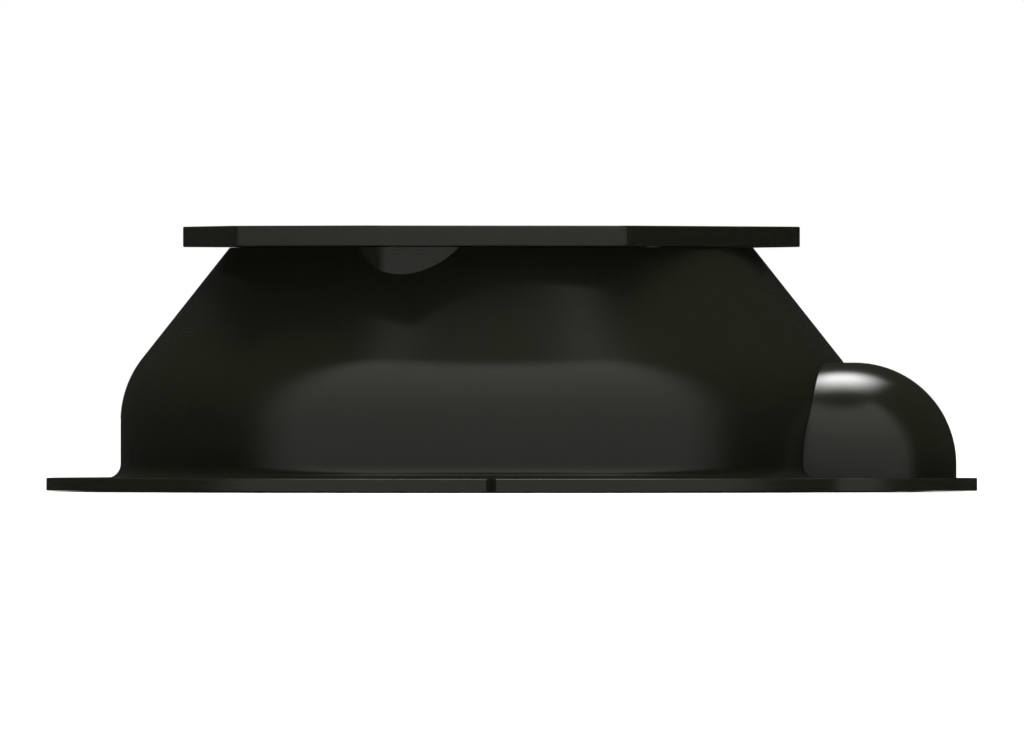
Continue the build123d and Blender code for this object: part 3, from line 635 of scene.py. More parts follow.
def skinned(name, rows):
    """A closed solid from rings of points at given heights, lowest first, capped flat."""
    count = len(rows[0][1])
    points = [(p[0] * MM, p[1] * MM, height * MM) for height, ring in rows for p in ring]
    faces = [tuple(reversed(range(count)))]
    for row in range(len(rows) - 1):
        for i in range(count):
            j = (i + 1) % count
            low, high = row * count, (row + 1) * count
            faces.append((low + i, low + j, high + j, high + i))
    faces.append(tuple(range(len(points) - count, len(points))))
    mesh = bpy.data.meshes.new(name)
    mesh.from_pydata(points, [], faces)
    piece = bpy.data.objects.new(name, mesh)
    scene.collection.objects.link(piece)
    return piece


# %% [markdown]
# ## The shell
#
# The real shell is one injection moulding with walls of 3 mm: flange, drum, rounded shoulder,
# cone, and a flat rim round the mouth. Two vertical bulges under the cap give room for the lift
# sleeve and a guide pin. The form is turned with the tree above, then the bulges and the screw
# bosses are joined to it, and the holes are cut, with exact booleans.

# %% Sizes of the shell
DRUM = 92.8
WALL = 3.0
SHOULDER_HEIGHT = 26.2
SHOULDER_ROUND = 25.4
CONE_TOP = 65.5
FLANGE = 3.2
FOOT_ROUND = 3.5
FLANGE_EDGE = 0.25
RIM_WIDTH = 8.0
RIM_THICK = 3.0
DOME_TURN = -15.8
DOME_RADIUS = 28.5
DOME_DISTANCE = DRUM - 1.8
LOBE_RADIUS = 57.7
LOBE_DISTANCE = DOME_DISTANCE + DOME_RADIUS + 4.3 - LOBE_RADIUS
TOWER_RADIUS = 16.4
TOWER_LOW = 48.0
GUIDE_RADIUS = 4.1
GUIDE_LOW = 42.0
GUIDES = [around(CONE_TOP - 4.2, turn) for turn in (-50.0, 101.1)]
NOTCH_HALF, NOTCH_DEPTH = 1.25, 1.5
DECK_BOSS_RADIUS = 4.0
DECK_BOSSES = [around(DRUM - WALL - DECK_BOSS_RADIUS - 0.5, turn) for turn in range(30, 390, 60)]
DOME_SCREW_REACH = 23.2
LEAD_HEIGHT = 22.9
LEAD_HOLE = 2.6
SUPPLY_HOLE = 3.5
SLEEVE_BORE = 7.55            # radius; the sleeve slides in it
PIN_BORE = 2.55               # radius; the guide pins slide in it
CORE_IN, CORE_OUT = 10.05, 13.9   # the hollow round the sleeve's bore
SMALL_SCREW_HOLE, SMALL_HEAD = 1.27, 2.6
ROOF_SCREW_HEAD = 4.2
CONE_ROWS = 12                # rows of vertices down the cone, so that cuts stay local
CLEAR = 0.03                  # keeps a cut's face off a neighbouring face
DECK_TOP = deck_high.z
MOUTH = CONE_TOP - RIM_WIDTH

lean = math.atan2(DRUM - CONE_TOP, SHELL_TOP - SHOULDER_HEIGHT)
lobe_rule = {
    "Flange Radius": FLANGE_RADIUS * MM, "Fixed Radius": (DRUM + FOOT_ROUND) * MM,
    "Full Radius": (FLANGE_RADIUS - 6) * MM, "Lobe Distance": LOBE_DISTANCE * MM,
    "Lobe Radius": LOBE_RADIUS * MM, "Lobe Turn": math.radians(DOME_TURN), "Corner": 4 * MM}
print(f"the cone leans {math.degrees(lean):.1f} degrees; the lobe's middle is at {LOBE_DISTANCE:.1f}")


# %% Turn the shell and carve it
def side_line(inset):
    """The drum, shoulder and cone-top corners, pulled in by a wall's thickness."""
    side = DRUM - inset
    top = CONE_TOP - inset / math.cos(lean)
    corner = SHELL_TOP - (side - top) / math.tan(lean)
    return side, corner, top


def shell_outline():
    """The closed outline of the shell's wall and flange."""
    side, corner, top = side_line(0)
    inner, inner_corner, inner_top = side_line(WALL)
    ledge = SHELL_TOP - RIM_THICK
    inner_ledge = inner_top + (SHELL_TOP - ledge) * math.tan(lean)
    rows = [(top + (side - top) * i / CONE_ROWS, SHELL_TOP - (SHELL_TOP - corner) * i / CONE_ROWS)
            for i in range(1, CONE_ROWS * 3 // 4)]
    return rounded([
        (inner, 0), (inner, inner_corner, SHOULDER_ROUND - WALL), (inner_ledge, ledge),
        (MOUTH, ledge), (MOUTH, SHELL_TOP, 0.4), (top, SHELL_TOP), *rows,
        (side, corner, SHOULDER_ROUND), (side, FLANGE, FOOT_ROUND),
        (FLANGE_RADIUS, FLANGE, FLANGE_EDGE), (FLANGE_RADIUS, 0, FLANGE_EDGE)])


def screw_space(name, hole, head, deep, top, at, up=True):
    """A countersunk hole to cut, with its head at a height, facing up or down."""
    way = 1 if up else -1
    outline = [(0, top + way), (head + 1, top + way), (hole, top - way * (head - hole)),
               (hole, top - way * deep), (0, top - way * deep)]
    return turned(name, outline, None, 48, at)


def dome_place(radial, sideways):
    """A place given along and across the dome's own radius, as X and Y."""
    turn = math.radians(DOME_TURN)
    return (radial * math.cos(turn) - sideways * math.sin(turn),
            radial * math.sin(turn) + sideways * math.cos(turn))


def dome_screw_places():
    """The places of the three screws that hold the dome from below."""
    return [dome_place(DOME_DISTANCE + DOME_SCREW_REACH * math.cos(math.radians(turn)),
                       DOME_SCREW_REACH * math.sin(math.radians(turn))) for turn in (0, 70, -70)]


def node_form(name, down=0.0):
    """A copy of an engineering node's form, moved down by a little, to cut with."""
    node = frame["nodes"][name]
    mesh = node.data.copy()
    mesh.transform(Matrix.Translation((0, 0, -down * MM)) @ node.matrix_world)
    work = bmesh.new()
    work.from_mesh(mesh)
    bmesh.ops.remove_doubles(work, verts=work.verts, dist=1e-6)
    work.to_mesh(mesh)
    work.free()
    piece = bpy.data.objects.new(name + "_form", mesh)
    scene.collection.objects.link(piece)
    return piece


def prism(name, corners, low, high):
    """An upright solid from a plan's corners, anticlockwise, in millimetres."""
    return skinned(name, [(low, corners), (high, corners)])


def notch(turn):
    """The space of a V-shaped centring mark in the flange's edge."""
    x, y = around(1, turn)
    corners = [(FLANGE_RADIUS - NOTCH_DEPTH, 0), (FLANGE_RADIUS + 1, -NOTCH_HALF * 5 / 3),
               (FLANGE_RADIUS + 1, NOTCH_HALF * 5 / 3)]
    return prism("notch", [(r * x - s * y, r * y + s * x) for r, s in corners], -1, FLANGE + 1)


def boss_solids():
    """The bulges and bosses that are joined to the shell."""
    side, corner, top = side_line(1.0)
    solids = []
    for place in DECK_BOSSES:
        boss = pin("deck_boss", DECK_BOSS_RADIUS, DECK_TOP, SHELL_TOP - 1, place, 47)
        inside = turned("inside", rounded([(0, 0), (side, 0), (side, corner, SHOULDER_ROUND - 1),
                                           (top, SHELL_TOP), (0, SHELL_TOP)]), None, 180)
        solids.append(carved(boss, [inside], "INTERSECT"))
    solids.append(pin("tower", TOWER_RADIUS, TOWER_LOW, SHELL_TOP - CLEAR, TOWER, 128))
    solids += [pin("guide", GUIDE_RADIUS, GUIDE_LOW, SHELL_TOP - CLEAR, place, 64)
               for place in GUIDES]
    return solids


def shell_cuts():
    """Everything that is cut out of the shell."""
    low, ledge, above = TOWER_LOW - 2, SHELL_TOP - RIM_THICK - CLEAR, SHELL_TOP + 9.25
    cuts = [turned("core", [(CORE_IN, low), (CORE_OUT, low), (CORE_OUT, ledge), (CORE_IN, ledge)],
                   None, 96, TOWER),
            pin("sleeve_bore", SLEEVE_BORE, TOWER_LOW - 4, above, TOWER, 96),
            pin("supply_hole", SUPPLY_HOLE, -1, 6, SUPPLY, 48),
            node_form("flange_seal", 0.2), node_form("dome_seal", -0.2)]
    cuts += [pin("pin_bore", PIN_BORE, GUIDE_LOW - 4, above, place, 48) for place in GUIDES]
    cuts += [pin("boss_bore", SMALL_SCREW_HOLE, DECK_TOP - 1, DECK_TOP + 12, place, 32)
             for place in DECK_BOSSES]
    cuts += [screw_space("dome_screw", SMALL_SCREW_HOLE, SMALL_HEAD, 6, 0, place, up=False)
             for place in dome_screw_places()]
    for i in range(SCREW_COUNT):
        place = around(SCREW_CIRCLE, DOME_TURN + (i + 0.5) * 360 / SCREW_COUNT)
        cuts.append(screw_space("screw_hole", SCREW_HOLE, ROOF_SCREW_HEAD, 6, FLANGE, place))
    bore = pin("wall_hole", LEAD_HOLE, DRUM - 8, DRUM + 6, steps=48)
    bore.data.transform(Matrix.Translation((0, 0, LEAD_HEIGHT * MM))
                        @ Matrix.Rotation(math.radians(DOME_TURN), 4, "Z")
                        @ Matrix.Rotation(math.radians(90), 4, "Y"))
    return cuts + [bore] + [notch(turn) for turn in (-90, 90)]


ON_SIDE = 0.05                # mm from the true form that still counts as on it
SAME_WAY = 0.97               # cosine; a face that leans further is another surface


def side_normal(point):
    """The shell's true outward normal at a point of its side, or None away from it."""
    side, corner, top = side_line(0)
    reach = SHOULDER_ROUND * math.tan(lean / 2)
    radius, height = math.hypot(point.x, point.y) / MM, point.z / MM
    low, high = corner - reach, corner + reach * math.cos(lean)
    tilt = 0.0 if height < low else lean if height > high else math.asin(
        min(1.0, (height - low) / SHOULDER_ROUND))
    if height < low:
        surface = side
    elif height > high:
        surface = top + (SHELL_TOP - height) * math.tan(lean)
    else:
        surface = side - SHOULDER_ROUND * (1 - math.cos(tilt))
    if height < FLANGE + FOOT_ROUND or abs(radius - surface) > ON_SIDE:
        return None
    flat = Vector((point.x, point.y, 0)).normalized() * math.cos(tilt)
    return Vector((flat.x, flat.y, math.sin(tilt)))


def true_sides(piece):
    """Gives the drum, shoulder and cone the normals of the true form, across every cut."""
    mesh = piece.data
    normals = [tuple(corner.vector) for corner in mesh.corner_normals]
    for face in mesh.polygons:
        exact = [side_normal(mesh.vertices[index].co) for index in face.vertices]
        if None in exact or min(face.normal.dot(n) for n in exact) < SAME_WAY:
            continue
        for loop, normal in zip(face.loop_indices, exact):
            normals[loop] = normal
    mesh.normals_split_custom_set(normals)


shell = turned("base_shell_moulding", shell_outline(), asa_gloss, 360, rule=lobe_rule)
shell = carved(shell, boss_solids(), "UNION")
shell = carved(shell, shell_cuts())
shaded(shell, asa_gloss)
true_sides(shell)
settled(shell, "housing", "base_shell", slot="shell_plastic")

# %% [markdown]
# ## The side dome
#
# The dome is its own thin moulding. It stands on the flange's lobe and its open side is cut to the
# drum, so a dark hairline shows all the way round. It is turned like the shell, then the shell's
# outer form, a hair larger, is cut from it.

# %% Turn the dome and cut it to the drum
DOME_TOP = dome_high.z
DOME_ROUND = 25.4
DOME_WALL = 2.5
HAIRLINE = 0.12


def dome_outline():
    """The dome's wall, as a closed outline about its own axis."""
    inner_top = DOME_TOP - DOME_WALL
    inner = DOME_RADIUS - DOME_WALL
    return rounded([(DOME_RADIUS, FLANGE), (DOME_RADIUS, DOME_TOP, DOME_ROUND), (0, DOME_TOP),
                    (0, inner_top), (inner, inner_top, DOME_ROUND - DOME_WALL), (inner, FLANGE)])


dome = turned("side_dome_moulding", dome_outline(), asa_gloss, 192,
              around(DOME_DISTANCE, DOME_TURN))
side, corner, top = side_line(-HAIRLINE)
drum_cutter = turned("drum_cutter", rounded([
    (0, -2), (side + FOOT_ROUND + 0.5, -2), (side + FOOT_ROUND + 0.5, FLANGE),
    (side, FLANGE, FOOT_ROUND),
    (side, corner, SHOULDER_ROUND), (top, SHELL_TOP), (0, SHELL_TOP)]), None, 360)
carved(dome, [drum_cutter])
shaded(dome, asa_gloss)
settled(dome, "housing", "side_dome", slot="dome_plastic")

# %% [markdown]
# ## The cap plate
#
# The cap is a flat plate: a rectangle with its four corners cut off at 45 degrees, every corner
# rounded, turned on the vent so that one long edge faces the front. It is skinned from outlines of
# the same number of points at several heights, which also rounds its upper and lower edges.

# %% Build the cap
CAP_LENGTH, CAP_WIDTH = 167.8, 132.6
CAP_CUT = 43.6
CAP_ROUND = 6.0
CAP_EDGE = 0.35
CAP_TURN = 57.0
CAP_SEAL = 1.5                # the seal's thickness
SEAL_PULL = 0.6               # how far the seal keeps inside the bosses' edges
EDGE_STEPS = 4                # rings in the rounding of each edge
SLEEVE_SCREW = (1.5, 3.4)     # shank and head radius
PIN_SCREW = (1.25, 2.6)
CAP_SCREW_LENGTH = 9
SCREW_GAP = 0.15              # radial, round a screw that passes through


def cap_outline(inset):
    """The cap in plan, pulled in by an inset, as points in millimetres."""
    x, y = CAP_LENGTH / 2 - inset, CAP_WIDTH / 2 - inset
    cut = CAP_CUT - inset * (2 - math.sqrt(2))
    size = CAP_ROUND - inset
    corners = [(x, y - cut), (x - cut, y), (cut - x, y), (-x, y - cut), (-x, cut - y),
               (cut - x, -y), (x - cut, -y), (x, cut - y)]
    points = []
    for i, corner in enumerate(corners):
        points += arc_points(corners[i - 1], corner, corners[(i + 1) % 8], size, 10)[1:-1]
    turn = Matrix.Rotation(math.radians(CAP_TURN), 2)
    return [turn @ Vector(point) for point in points]


def cap_rows():
    """Rings of the cap, with a quarter circle at the lower and the upper edge."""
    swings = [math.radians(90 * i / EDGE_STEPS) for i in range(EDGE_STEPS + 1)]
    rises = [(CAP_EDGE * (1 - math.sin(swing)), cap_outline(CAP_EDGE * (1 - math.cos(swing))))
             for swing in swings]
    lower = [(cap_low.z + rise, ring) for rise, ring in reversed(rises)]
    return lower + [(cap_high.z - rise, ring) for rise, ring in rises]


def cap_cuts():
    """The pocket for the seal, the sockets for sleeve and pins, and the screw holes."""
    low, seal_top = cap_low.z - 1, cap_low.z + CAP_SEAL
    seal_in, seal_out = MOUTH + 0.5, CONE_TOP - SEAL_PULL
    cuts = [turned("seal_pocket", [(seal_in, low), (seal_out, low), (seal_out, seal_top),
                                   (seal_in, seal_top)], None, 192),
            pin("tower_pocket", TOWER_RADIUS - SEAL_PULL, low, seal_top, TOWER, 96),
            screw_space("sleeve_screw", SLEEVE_SCREW[0] + SCREW_GAP, SLEEVE_SCREW[1],
                        CAP_SCREW_LENGTH, cap_high.z, TOWER)]
    for place in GUIDES:
        cuts.append(pin("guide_pocket", GUIDE_RADIUS - SEAL_PULL, low, seal_top, place, 64))
        cuts.append(screw_space("pin_screw", PIN_SCREW[0] + SCREW_GAP, PIN_SCREW[1],
                                CAP_SCREW_LENGTH, cap_high.z, place))
    return cuts


cap = carved(skinned("cap_plate_moulding", cap_rows()), cap_cuts())
shaded(cap, asa_gloss)
settled(cap, "cap", "cap_plate", slot="cap_plastic")

# %% [markdown]
# ## Copies with Geometry Nodes
#
# Screws, blades and coils are the same piece many times. Object copies with Alt+D would do, or an
# Array modifier, but the places come from the frame and each fan blade is turned a little further
# than the last. So a small tree puts an instance on every vertex of a mesh of places, turns the
# n-th one by n steps, makes the instances real, and sets the material.


# %% Build the copying tree
def make_copying_tree():
    """The tree that puts a turned copy of a piece on every vertex of a mesh."""
    tree = bpy.data.node_groups.new("copies on places", "GeometryNodeTree")
    socket_in(tree, "Places", "NodeSocketGeometry")
    socket_in(tree, "Piece", "NodeSocketObject")
    socket_in(tree, "Turn Step", "NodeSocketFloat", 0.0)
    socket_in(tree, "Material", "NodeSocketMaterial")
    tree.interface.new_socket("Mesh", in_out="OUTPUT", socket_type="NodeSocketGeometry")
    given = add(tree, "NodeGroupInput").outputs
    piece = add(tree, "GeometryNodeObjectInfo", {"Object": given["Piece"]})
    index = add(tree, "GeometryNodeInputIndex").outputs[0]
    turn = add(tree, "ShaderNodeMath", {0: index, 1: given["Turn Step"]},
               operation="MULTIPLY").outputs[0]
    facing = add(tree, "ShaderNodeCombineXYZ", {2: turn}).outputs[0]
    copies = add(tree, "GeometryNodeInstanceOnPoints", {
        "Points": given["Places"], "Instance": piece.outputs["Geometry"], "Rotation": facing})
    solid = add(tree, "GeometryNodeRealizeInstances", {0: copies.outputs[0]})
    named = add(tree, "GeometryNodeSetMaterial", {
        "Geometry": solid.outputs[0], "Material": given["Material"]})
    add(tree, "NodeGroupOutput", {0: named.outputs[0]})
    return tree


def copied(name, piece, places, material, step=0.0):
    """One mesh with a copy of the piece at every place in millimetres; the piece is removed."""
    mesh = bpy.data.meshes.new(name + "_places")
    mesh.from_pydata([Vector(place) * MM for place in places], [], [])
    made = grown(name, copying, mesh, {
        "Piece": piece, "Turn Step": math.radians(step), "Material": material})
    bpy.data.objects.remove(piece)
    return made


copying = make_copying_tree()
print("copying tree:", len(copying.nodes), "nodes")

# %% [markdown]
# ## Screws
#
# The screws are countersunk thread-forming ones with a cross recess, as injection-moulded
# assemblies use. The outline is stepped finely along the shank so that the tree's thread has
# enough rows. The recess is cut with two crossed boxes, the way its punch presses it.


# %% Make one screw and set it in its places
SCREW_PITCH = 0.9
SCREW_THREAD = 0.28
ROW = 0.15                    # height of one row of vertices along a thread
HEAD_EDGE = 0.06              # rounding of a screw head's rim


def thread_rows(radius, low, high, row=ROW):
    """Outline points straight up a shank, close enough together to carry a thread."""
    count = max(1, round((high - low) / row))
    return [(radius, low + (high - low) * i / count) for i in range(count + 1)]


def block(name, size):
    """A plain box in millimetres about the origin, used to cut."""
    x, y, z = (value / 2 for value in size)
    return prism(name, [(-x, -y), (x, -y), (x, y), (-x, y)], -z, z)


def screw(head, shank, length, up=False):
    """One screw with its head's top at the origin, pointing down, or up if asked."""
    cone = head - shank
    outline = [(0, -length)] + thread_rows(shank, shank - length, -cone)
    outline += [(head - HEAD_EDGE, -2 * HEAD_EDGE), (head, -HEAD_EDGE), (head - HEAD_EDGE, 0),
                (0, 0)]
    rule = {"Thread Lead": SCREW_PITCH * MM, "Thread Depth": SCREW_THREAD * MM,
            "Thread Low": (shank - length) * MM, "Thread High": (-cone - 0.3) * MM}
    made = turned("screw", outline, None, 28, rule=rule)
    wide, narrow, deep = head * 1.1, head * 0.26, head * 0.55
    carved(made, [block("slot", (wide, narrow, deep)), block("slot", (narrow, wide, deep))])
    if up:
        made.data.transform(Matrix.Rotation(math.pi, 4, "X"))
    return made


def screw_set(name, node, body, slot, material, kinds):
    """All the screws of one node: each kind is a screw and its places, joined into one mesh."""
    pieces = [copied(name, made, places, material) for made, places in kinds]
    made = joined(name, pieces)
    shaded(made, material, 40)
    return settled(made, body, node, slot=slot)


def joined(name, pieces):
    """Several objects as one mesh."""
    work = bmesh.new()
    for piece in pieces:
        work.from_mesh(piece.data)
        bpy.data.objects.remove(piece)
    mesh = bpy.data.meshes.new(name)
    work.to_mesh(mesh)
    work.free()
    made = bpy.data.objects.new(name, mesh)
    scene.collection.objects.link(made)
    return made


EARS = [around(46.65, DOME_TURN + turn) for turn in range(45, 405, 90)]
EAR_THICK = 3
KNOB_LOW = 1.5
SHANK, HEAD = PIN_SCREW
screw_set("cap_screw_set", "cap_screws", "cap", "stainless", stainless, [
    (screw(SLEEVE_SCREW[1], SLEEVE_SCREW[0], CAP_SCREW_LENGTH), [(*TOWER, cap_high.z)]),
    (screw(HEAD, SHANK, CAP_SCREW_LENGTH), [(*place, cap_high.z) for place in GUIDES])])
for name, node, body, length, up, places in (
        ("deck_screw_set", "deck_screws", "housing", 15.5, True,
         [(*place, screen_low.z) for place in DECK_BOSSES]),
        ("dome_screw_set", "dome_screws", "housing", 13, True,
         [(*place, 0) for place in dome_screw_places()]),
        ("frame_screw_set", "frame_screws", "housing", 6, False,
         [(*place, DECK_TOP + EAR_THICK) for place in EARS]),
        ("knob_screw_piece", "knob_screw", "lift_screw", 10, True, [(*TOWER, KNOB_LOW)])):
    screw_set(name, node, body, "screw_steel", zinc_steel,
              [(screw(HEAD, SHANK, length, up), places)])

# %% [markdown]
# ## The lift screw and its knob
#
# The spindle has a coarse two-start thread, left-handed, so that turning the knob the natural way
# raises the cap by 6 mm in a turn. A negative lead makes the tree's groove climb the other way. The
# knob is moulded with eight finger hollows, which the tree's grip inputs press into its outline.

# %% Turn the spindle and the knob
SPINDLE_RADIUS, STEM_RADIUS = 4.0, 3.0
SPINDLE_TOP = 51.9
SHOULDER_LOW = 20.2
STEM_LOW = 5.0
CLIP_LOW, CLIP_HIGH = 14.5, 15.4
LEAD = 6.0
KNOB_RADIUS, KNOB_HIGH = 12.5, 11.5
KNOB_GRIPS, GRIP_DEPTH = 8, 1.4
SPINDLE_THREAD = 0.8          # depth of its thread
STEM_BORE = 1.27              # radius of the hole for the knob's screw

spindle_outline = [
    (STEM_BORE, STEM_LOW + 8), (STEM_BORE, STEM_LOW), (STEM_RADIUS - 0.2, STEM_LOW),
    (STEM_RADIUS, STEM_LOW + 0.2), (STEM_RADIUS, CLIP_LOW), (STEM_RADIUS - 0.5, CLIP_LOW),
    (STEM_RADIUS - 0.5, CLIP_HIGH), (STEM_RADIUS, CLIP_HIGH), (STEM_RADIUS, SHOULDER_LOW),
    (SPINDLE_RADIUS - 0.15, SHOULDER_LOW), (SPINDLE_RADIUS, SHOULDER_LOW + 0.15)]
spindle_outline += thread_rows(SPINDLE_RADIUS, SHOULDER_LOW + 0.3, SPINDLE_TOP - 1, 0.2)
spindle_outline += [(SPINDLE_RADIUS - 1, SPINDLE_TOP), (0, SPINDLE_TOP), (0, STEM_LOW + 8)]
spindle = turned("lift_spindle_turned", spindle_outline, stainless, 64, TOWER, {
    "Thread Lead": -LEAD * MM, "Thread Starts": 2.0, "Thread Depth": SPINDLE_THREAD * MM,
    "Thread Low": (SHOULDER_LOW + 1.2) * MM, "Thread High": (SPINDLE_TOP - 1.2) * MM})
shaded(spindle, stainless, 35)
settled(spindle, "lift_screw", "lift_spindle", slot="stainless")

knob = turned("lift_knob_moulding", rounded([
    (0, KNOB_LOW), (KNOB_RADIUS, KNOB_LOW, 1.2), (KNOB_RADIUS, KNOB_HIGH, 2.5), (0, KNOB_HIGH)]),
    abs_grey, 256, TOWER, {"Grip Count": float(KNOB_GRIPS), "Grip Depth": GRIP_DEPTH * MM,
                           "Grip Radius": KNOB_RADIUS * MM})
carved(knob, [pin("stem_bore", STEM_RADIUS, STEM_LOW, KNOB_HIGH + 1, TOWER),
              screw_space("knob_hole", SHANK + SCREW_GAP, HEAD, 6, KNOB_LOW, TOWER, up=False)])
shaded(knob, abs_grey)
settled(knob, "lift_screw", "lift_knob", slot="knob_plastic")

# %% [markdown]
# ## The insect screen
#
# Insect screen is woven from coated glass-fibre yarn: every yarn goes over one crossing yarn and
# under the next. Modelling it as a texture would do from afar, but the openings must be open, as
# the fan draws air through them. The tree lays straight lines at the yarn's pitch in both
# directions, waves each up and down so that the two sets pass each other, clears what lies
# outside the disc and in the eye for the lift screw, and sweeps a small round section along them.


# %% Build the weaving tree and weave the screen
def make_weaving_tree():
    """The tree that weaves a disc with an eye; its input geometry is not used."""
    tree = bpy.data.node_groups.new("woven disc", "GeometryNodeTree")
    socket_in(tree, "Unused", "NodeSocketGeometry")
    for name in ("Pitch", "Disc Radius", "Wave", "Yarn Radius", "Height", "Eye X", "Eye Y",
                 "Eye Radius"):
        socket_in(tree, name, "NodeSocketFloat", 0.001)
    socket_in(tree, "Lines", "NodeSocketInt", 3)
    socket_in(tree, "Material", "NodeSocketMaterial")
    tree.interface.new_socket("Mesh", in_out="OUTPUT", socket_type="NodeSocketGeometry")
    given = add(tree, "NodeGroupInput").outputs
    kind = "ShaderNodeMath"
    half_lines = add(tree, kind, {0: given["Lines"], 1: -1.0}, operation="ADD").outputs[0]
    start = add(tree, kind, {0: half_lines, 1: given["Pitch"]}, operation="MULTIPLY").outputs[0]
    start = add(tree, kind, {0: start, 1: -0.5}, operation="MULTIPLY").outputs[0]
    across = add(tree, "ShaderNodeCombineXYZ", {1: start}).outputs[0]
    step = add(tree, "ShaderNodeCombineXYZ", {1: given["Pitch"]}).outputs[0]
    stack = add(tree, "GeometryNodeMeshLine", {
        "Count": given["Lines"], "Start Location": across, "Offset": step}).outputs[0]
    samples = add(tree, kind, {0: half_lines, 1: 2.0, 2: 1.0}, operation="MULTIPLY_ADD").outputs[0]
    along = add(tree, "ShaderNodeCombineXYZ", {0: start}).outputs[0]
    stride = add(tree, kind, {0: given["Pitch"], 1: 0.5}, operation="MULTIPLY").outputs[0]
    stride = add(tree, "ShaderNodeCombineXYZ", {0: stride}).outputs[0]
    line = add(tree, "GeometryNodeMeshLine", {
        "Count": samples, "Start Location": along, "Offset": stride}).outputs[0]
    lines = add(tree, "GeometryNodeInstanceOnPoints", {"Points": stack, "Instance": line})
    lines = add(tree, "GeometryNodeRealizeInstances", {0: lines.outputs[0]}).outputs[0]
    crossed = add(tree, "GeometryNodeTransform", {"Geometry": lines}, mode="COMPONENTS")
    crossed.inputs["Rotation"].default_value = (0, 0, math.pi / 2)
    place = add(tree, "GeometryNodeInputPosition").outputs[0]
    x, y, _ = add(tree, "ShaderNodeSeparateXYZ", {0: place}).outputs
    both = add(tree, kind, {0: x, 1: y}, operation="ADD").outputs[0]
    both = add(tree, kind, {0: both, 1: given["Pitch"]}, operation="DIVIDE").outputs[0]
    both = add(tree, kind, {0: both, 1: math.pi}, operation="MULTIPLY").outputs[0]
    both = add(tree, kind, {0: both}, operation="COSINE").outputs[0]
    rise = add(tree, kind, {0: both, 1: given["Wave"]}, operation="MULTIPLY").outputs[0]
    fall = add(tree, kind, {0: rise, 1: -1.0}, operation="MULTIPLY").outputs[0]
    woven = []
    for source, lift in ((lines, rise), (crossed.outputs[0], fall)):
        lift = add(tree, kind, {0: lift, 1: given["Height"]}, operation="ADD").outputs[0]
        shift = add(tree, "ShaderNodeCombineXYZ", {2: lift}).outputs[0]
        woven.append(add(tree, "GeometryNodeSetPosition", {
            "Geometry": source, "Offset": shift}).outputs[0])
    net = add(tree, "GeometryNodeJoinGeometry")
    for source in woven:
        tree.links.new(source, net.inputs[0])
    net = net.outputs[0]
    middle = add(tree, "ShaderNodeCombineXYZ", {0: given["Eye X"], 1: given["Eye Y"]}).outputs[0]
    flat = add(tree, "ShaderNodeCombineXYZ", {0: x, 1: y}).outputs[0]
    reach = add(tree, "ShaderNodeVectorMath", {0: flat}, operation="LENGTH").outputs["Value"]
    gap = add(tree, "ShaderNodeVectorMath", {0: flat, 1: middle}, operation="DISTANCE")
    outside = add(tree, kind, {0: reach, 1: given["Disc Radius"]}, operation="GREATER_THAN")
    inside = add(tree, kind, {0: gap.outputs["Value"], 1: given["Eye Radius"]},
                 operation="LESS_THAN")
    gone = add(tree, kind, {0: outside.outputs[0], 1: inside.outputs[0]}, operation="MAXIMUM")
    net = add(tree, "GeometryNodeDeleteGeometry", {"Geometry": net, "Selection": gone.outputs[0]},
              domain="POINT").outputs[0]
    yarns = add(tree, "GeometryNodeMeshToCurve", {"Mesh": net}).outputs[0]
    section = add(tree, "GeometryNodeCurvePrimitiveCircle", {
        "Resolution": 4, "Radius": given["Yarn Radius"]}).outputs[0]
    swept = add(tree, "GeometryNodeCurveToMesh", {
        "Curve": yarns, "Profile Curve": section, "Fill Caps": True}).outputs[0]
    solid = add(tree, "GeometryNodeRealizeInstances", {0: swept})
    named = add(tree, "GeometryNodeSetMaterial", {
        "Geometry": solid.outputs[0], "Material": given["Material"]})
    add(tree, "NodeGroupOutput", {0: named.outputs[0]})
    return tree


YARN_PITCH = 2.0
YARN = 0.1                    # the yarn's radius, and how far it waves up and down
SCREEN_EYE = 7.0
weaving = make_weaving_tree()
screen_reach = screen_high.x
screen = grown("insect_screen_woven", weaving, bpy.data.meshes.new("nothing"), {
    "Pitch": YARN_PITCH * MM, "Disc Radius": (screen_reach - 0.2) * MM, "Wave": YARN * MM,
    "Yarn Radius": YARN * MM, "Height": (screen_low.z + screen_high.z) / 2 * MM,
    "Eye X": TOWER[0] * MM, "Eye Y": TOWER[1] * MM, "Eye Radius": (SCREEN_EYE + 0.2) * MM,
    "Lines": 2 * int(screen_reach / YARN_PITCH) + 1, "Material": screen_yarn})
shaded(screen, screen_yarn, 60)
settled(screen, "housing", "insect_screen", slot="woven_mesh")

# %% [markdown]
# ## The fan wheel
#
# The wheel is one moulding: a cup-shaped hub with seven twisted blades. A blade is steep at its
# root, where it moves slowly, and flatter and wider at its tip. Each of its sections lies on a
# cylinder about the shaft, so the tip follows the shroud. One blade is made and copied by the tree.

# %% Make the blade and the hub
HUB_RADIUS, HUB_LOW, HUB_HIGH, HUB_WALL = 20.0, 25.2, 40.2, 2.0
BLADE_ROOT, BLADE_TIP = 19.2, 39.65
BLADE_MIDDLE = 32.7
BLADE_PITCH = (48.0, 31.6)     # degrees at the root and at the tip
BLADE_CHORD = (15.0, 21.6)
BLADE_THICK = (1.6, 1.3)
BLADE_COUNT = 7
BLADE_CAMBER = 0.5
BLADE_STATIONS, BLADE_STEPS = 14, 16
SHAFT_RADIUS, SHAFT_BOSS = 1.5, 3.5
BOSS_LOW = 36.8


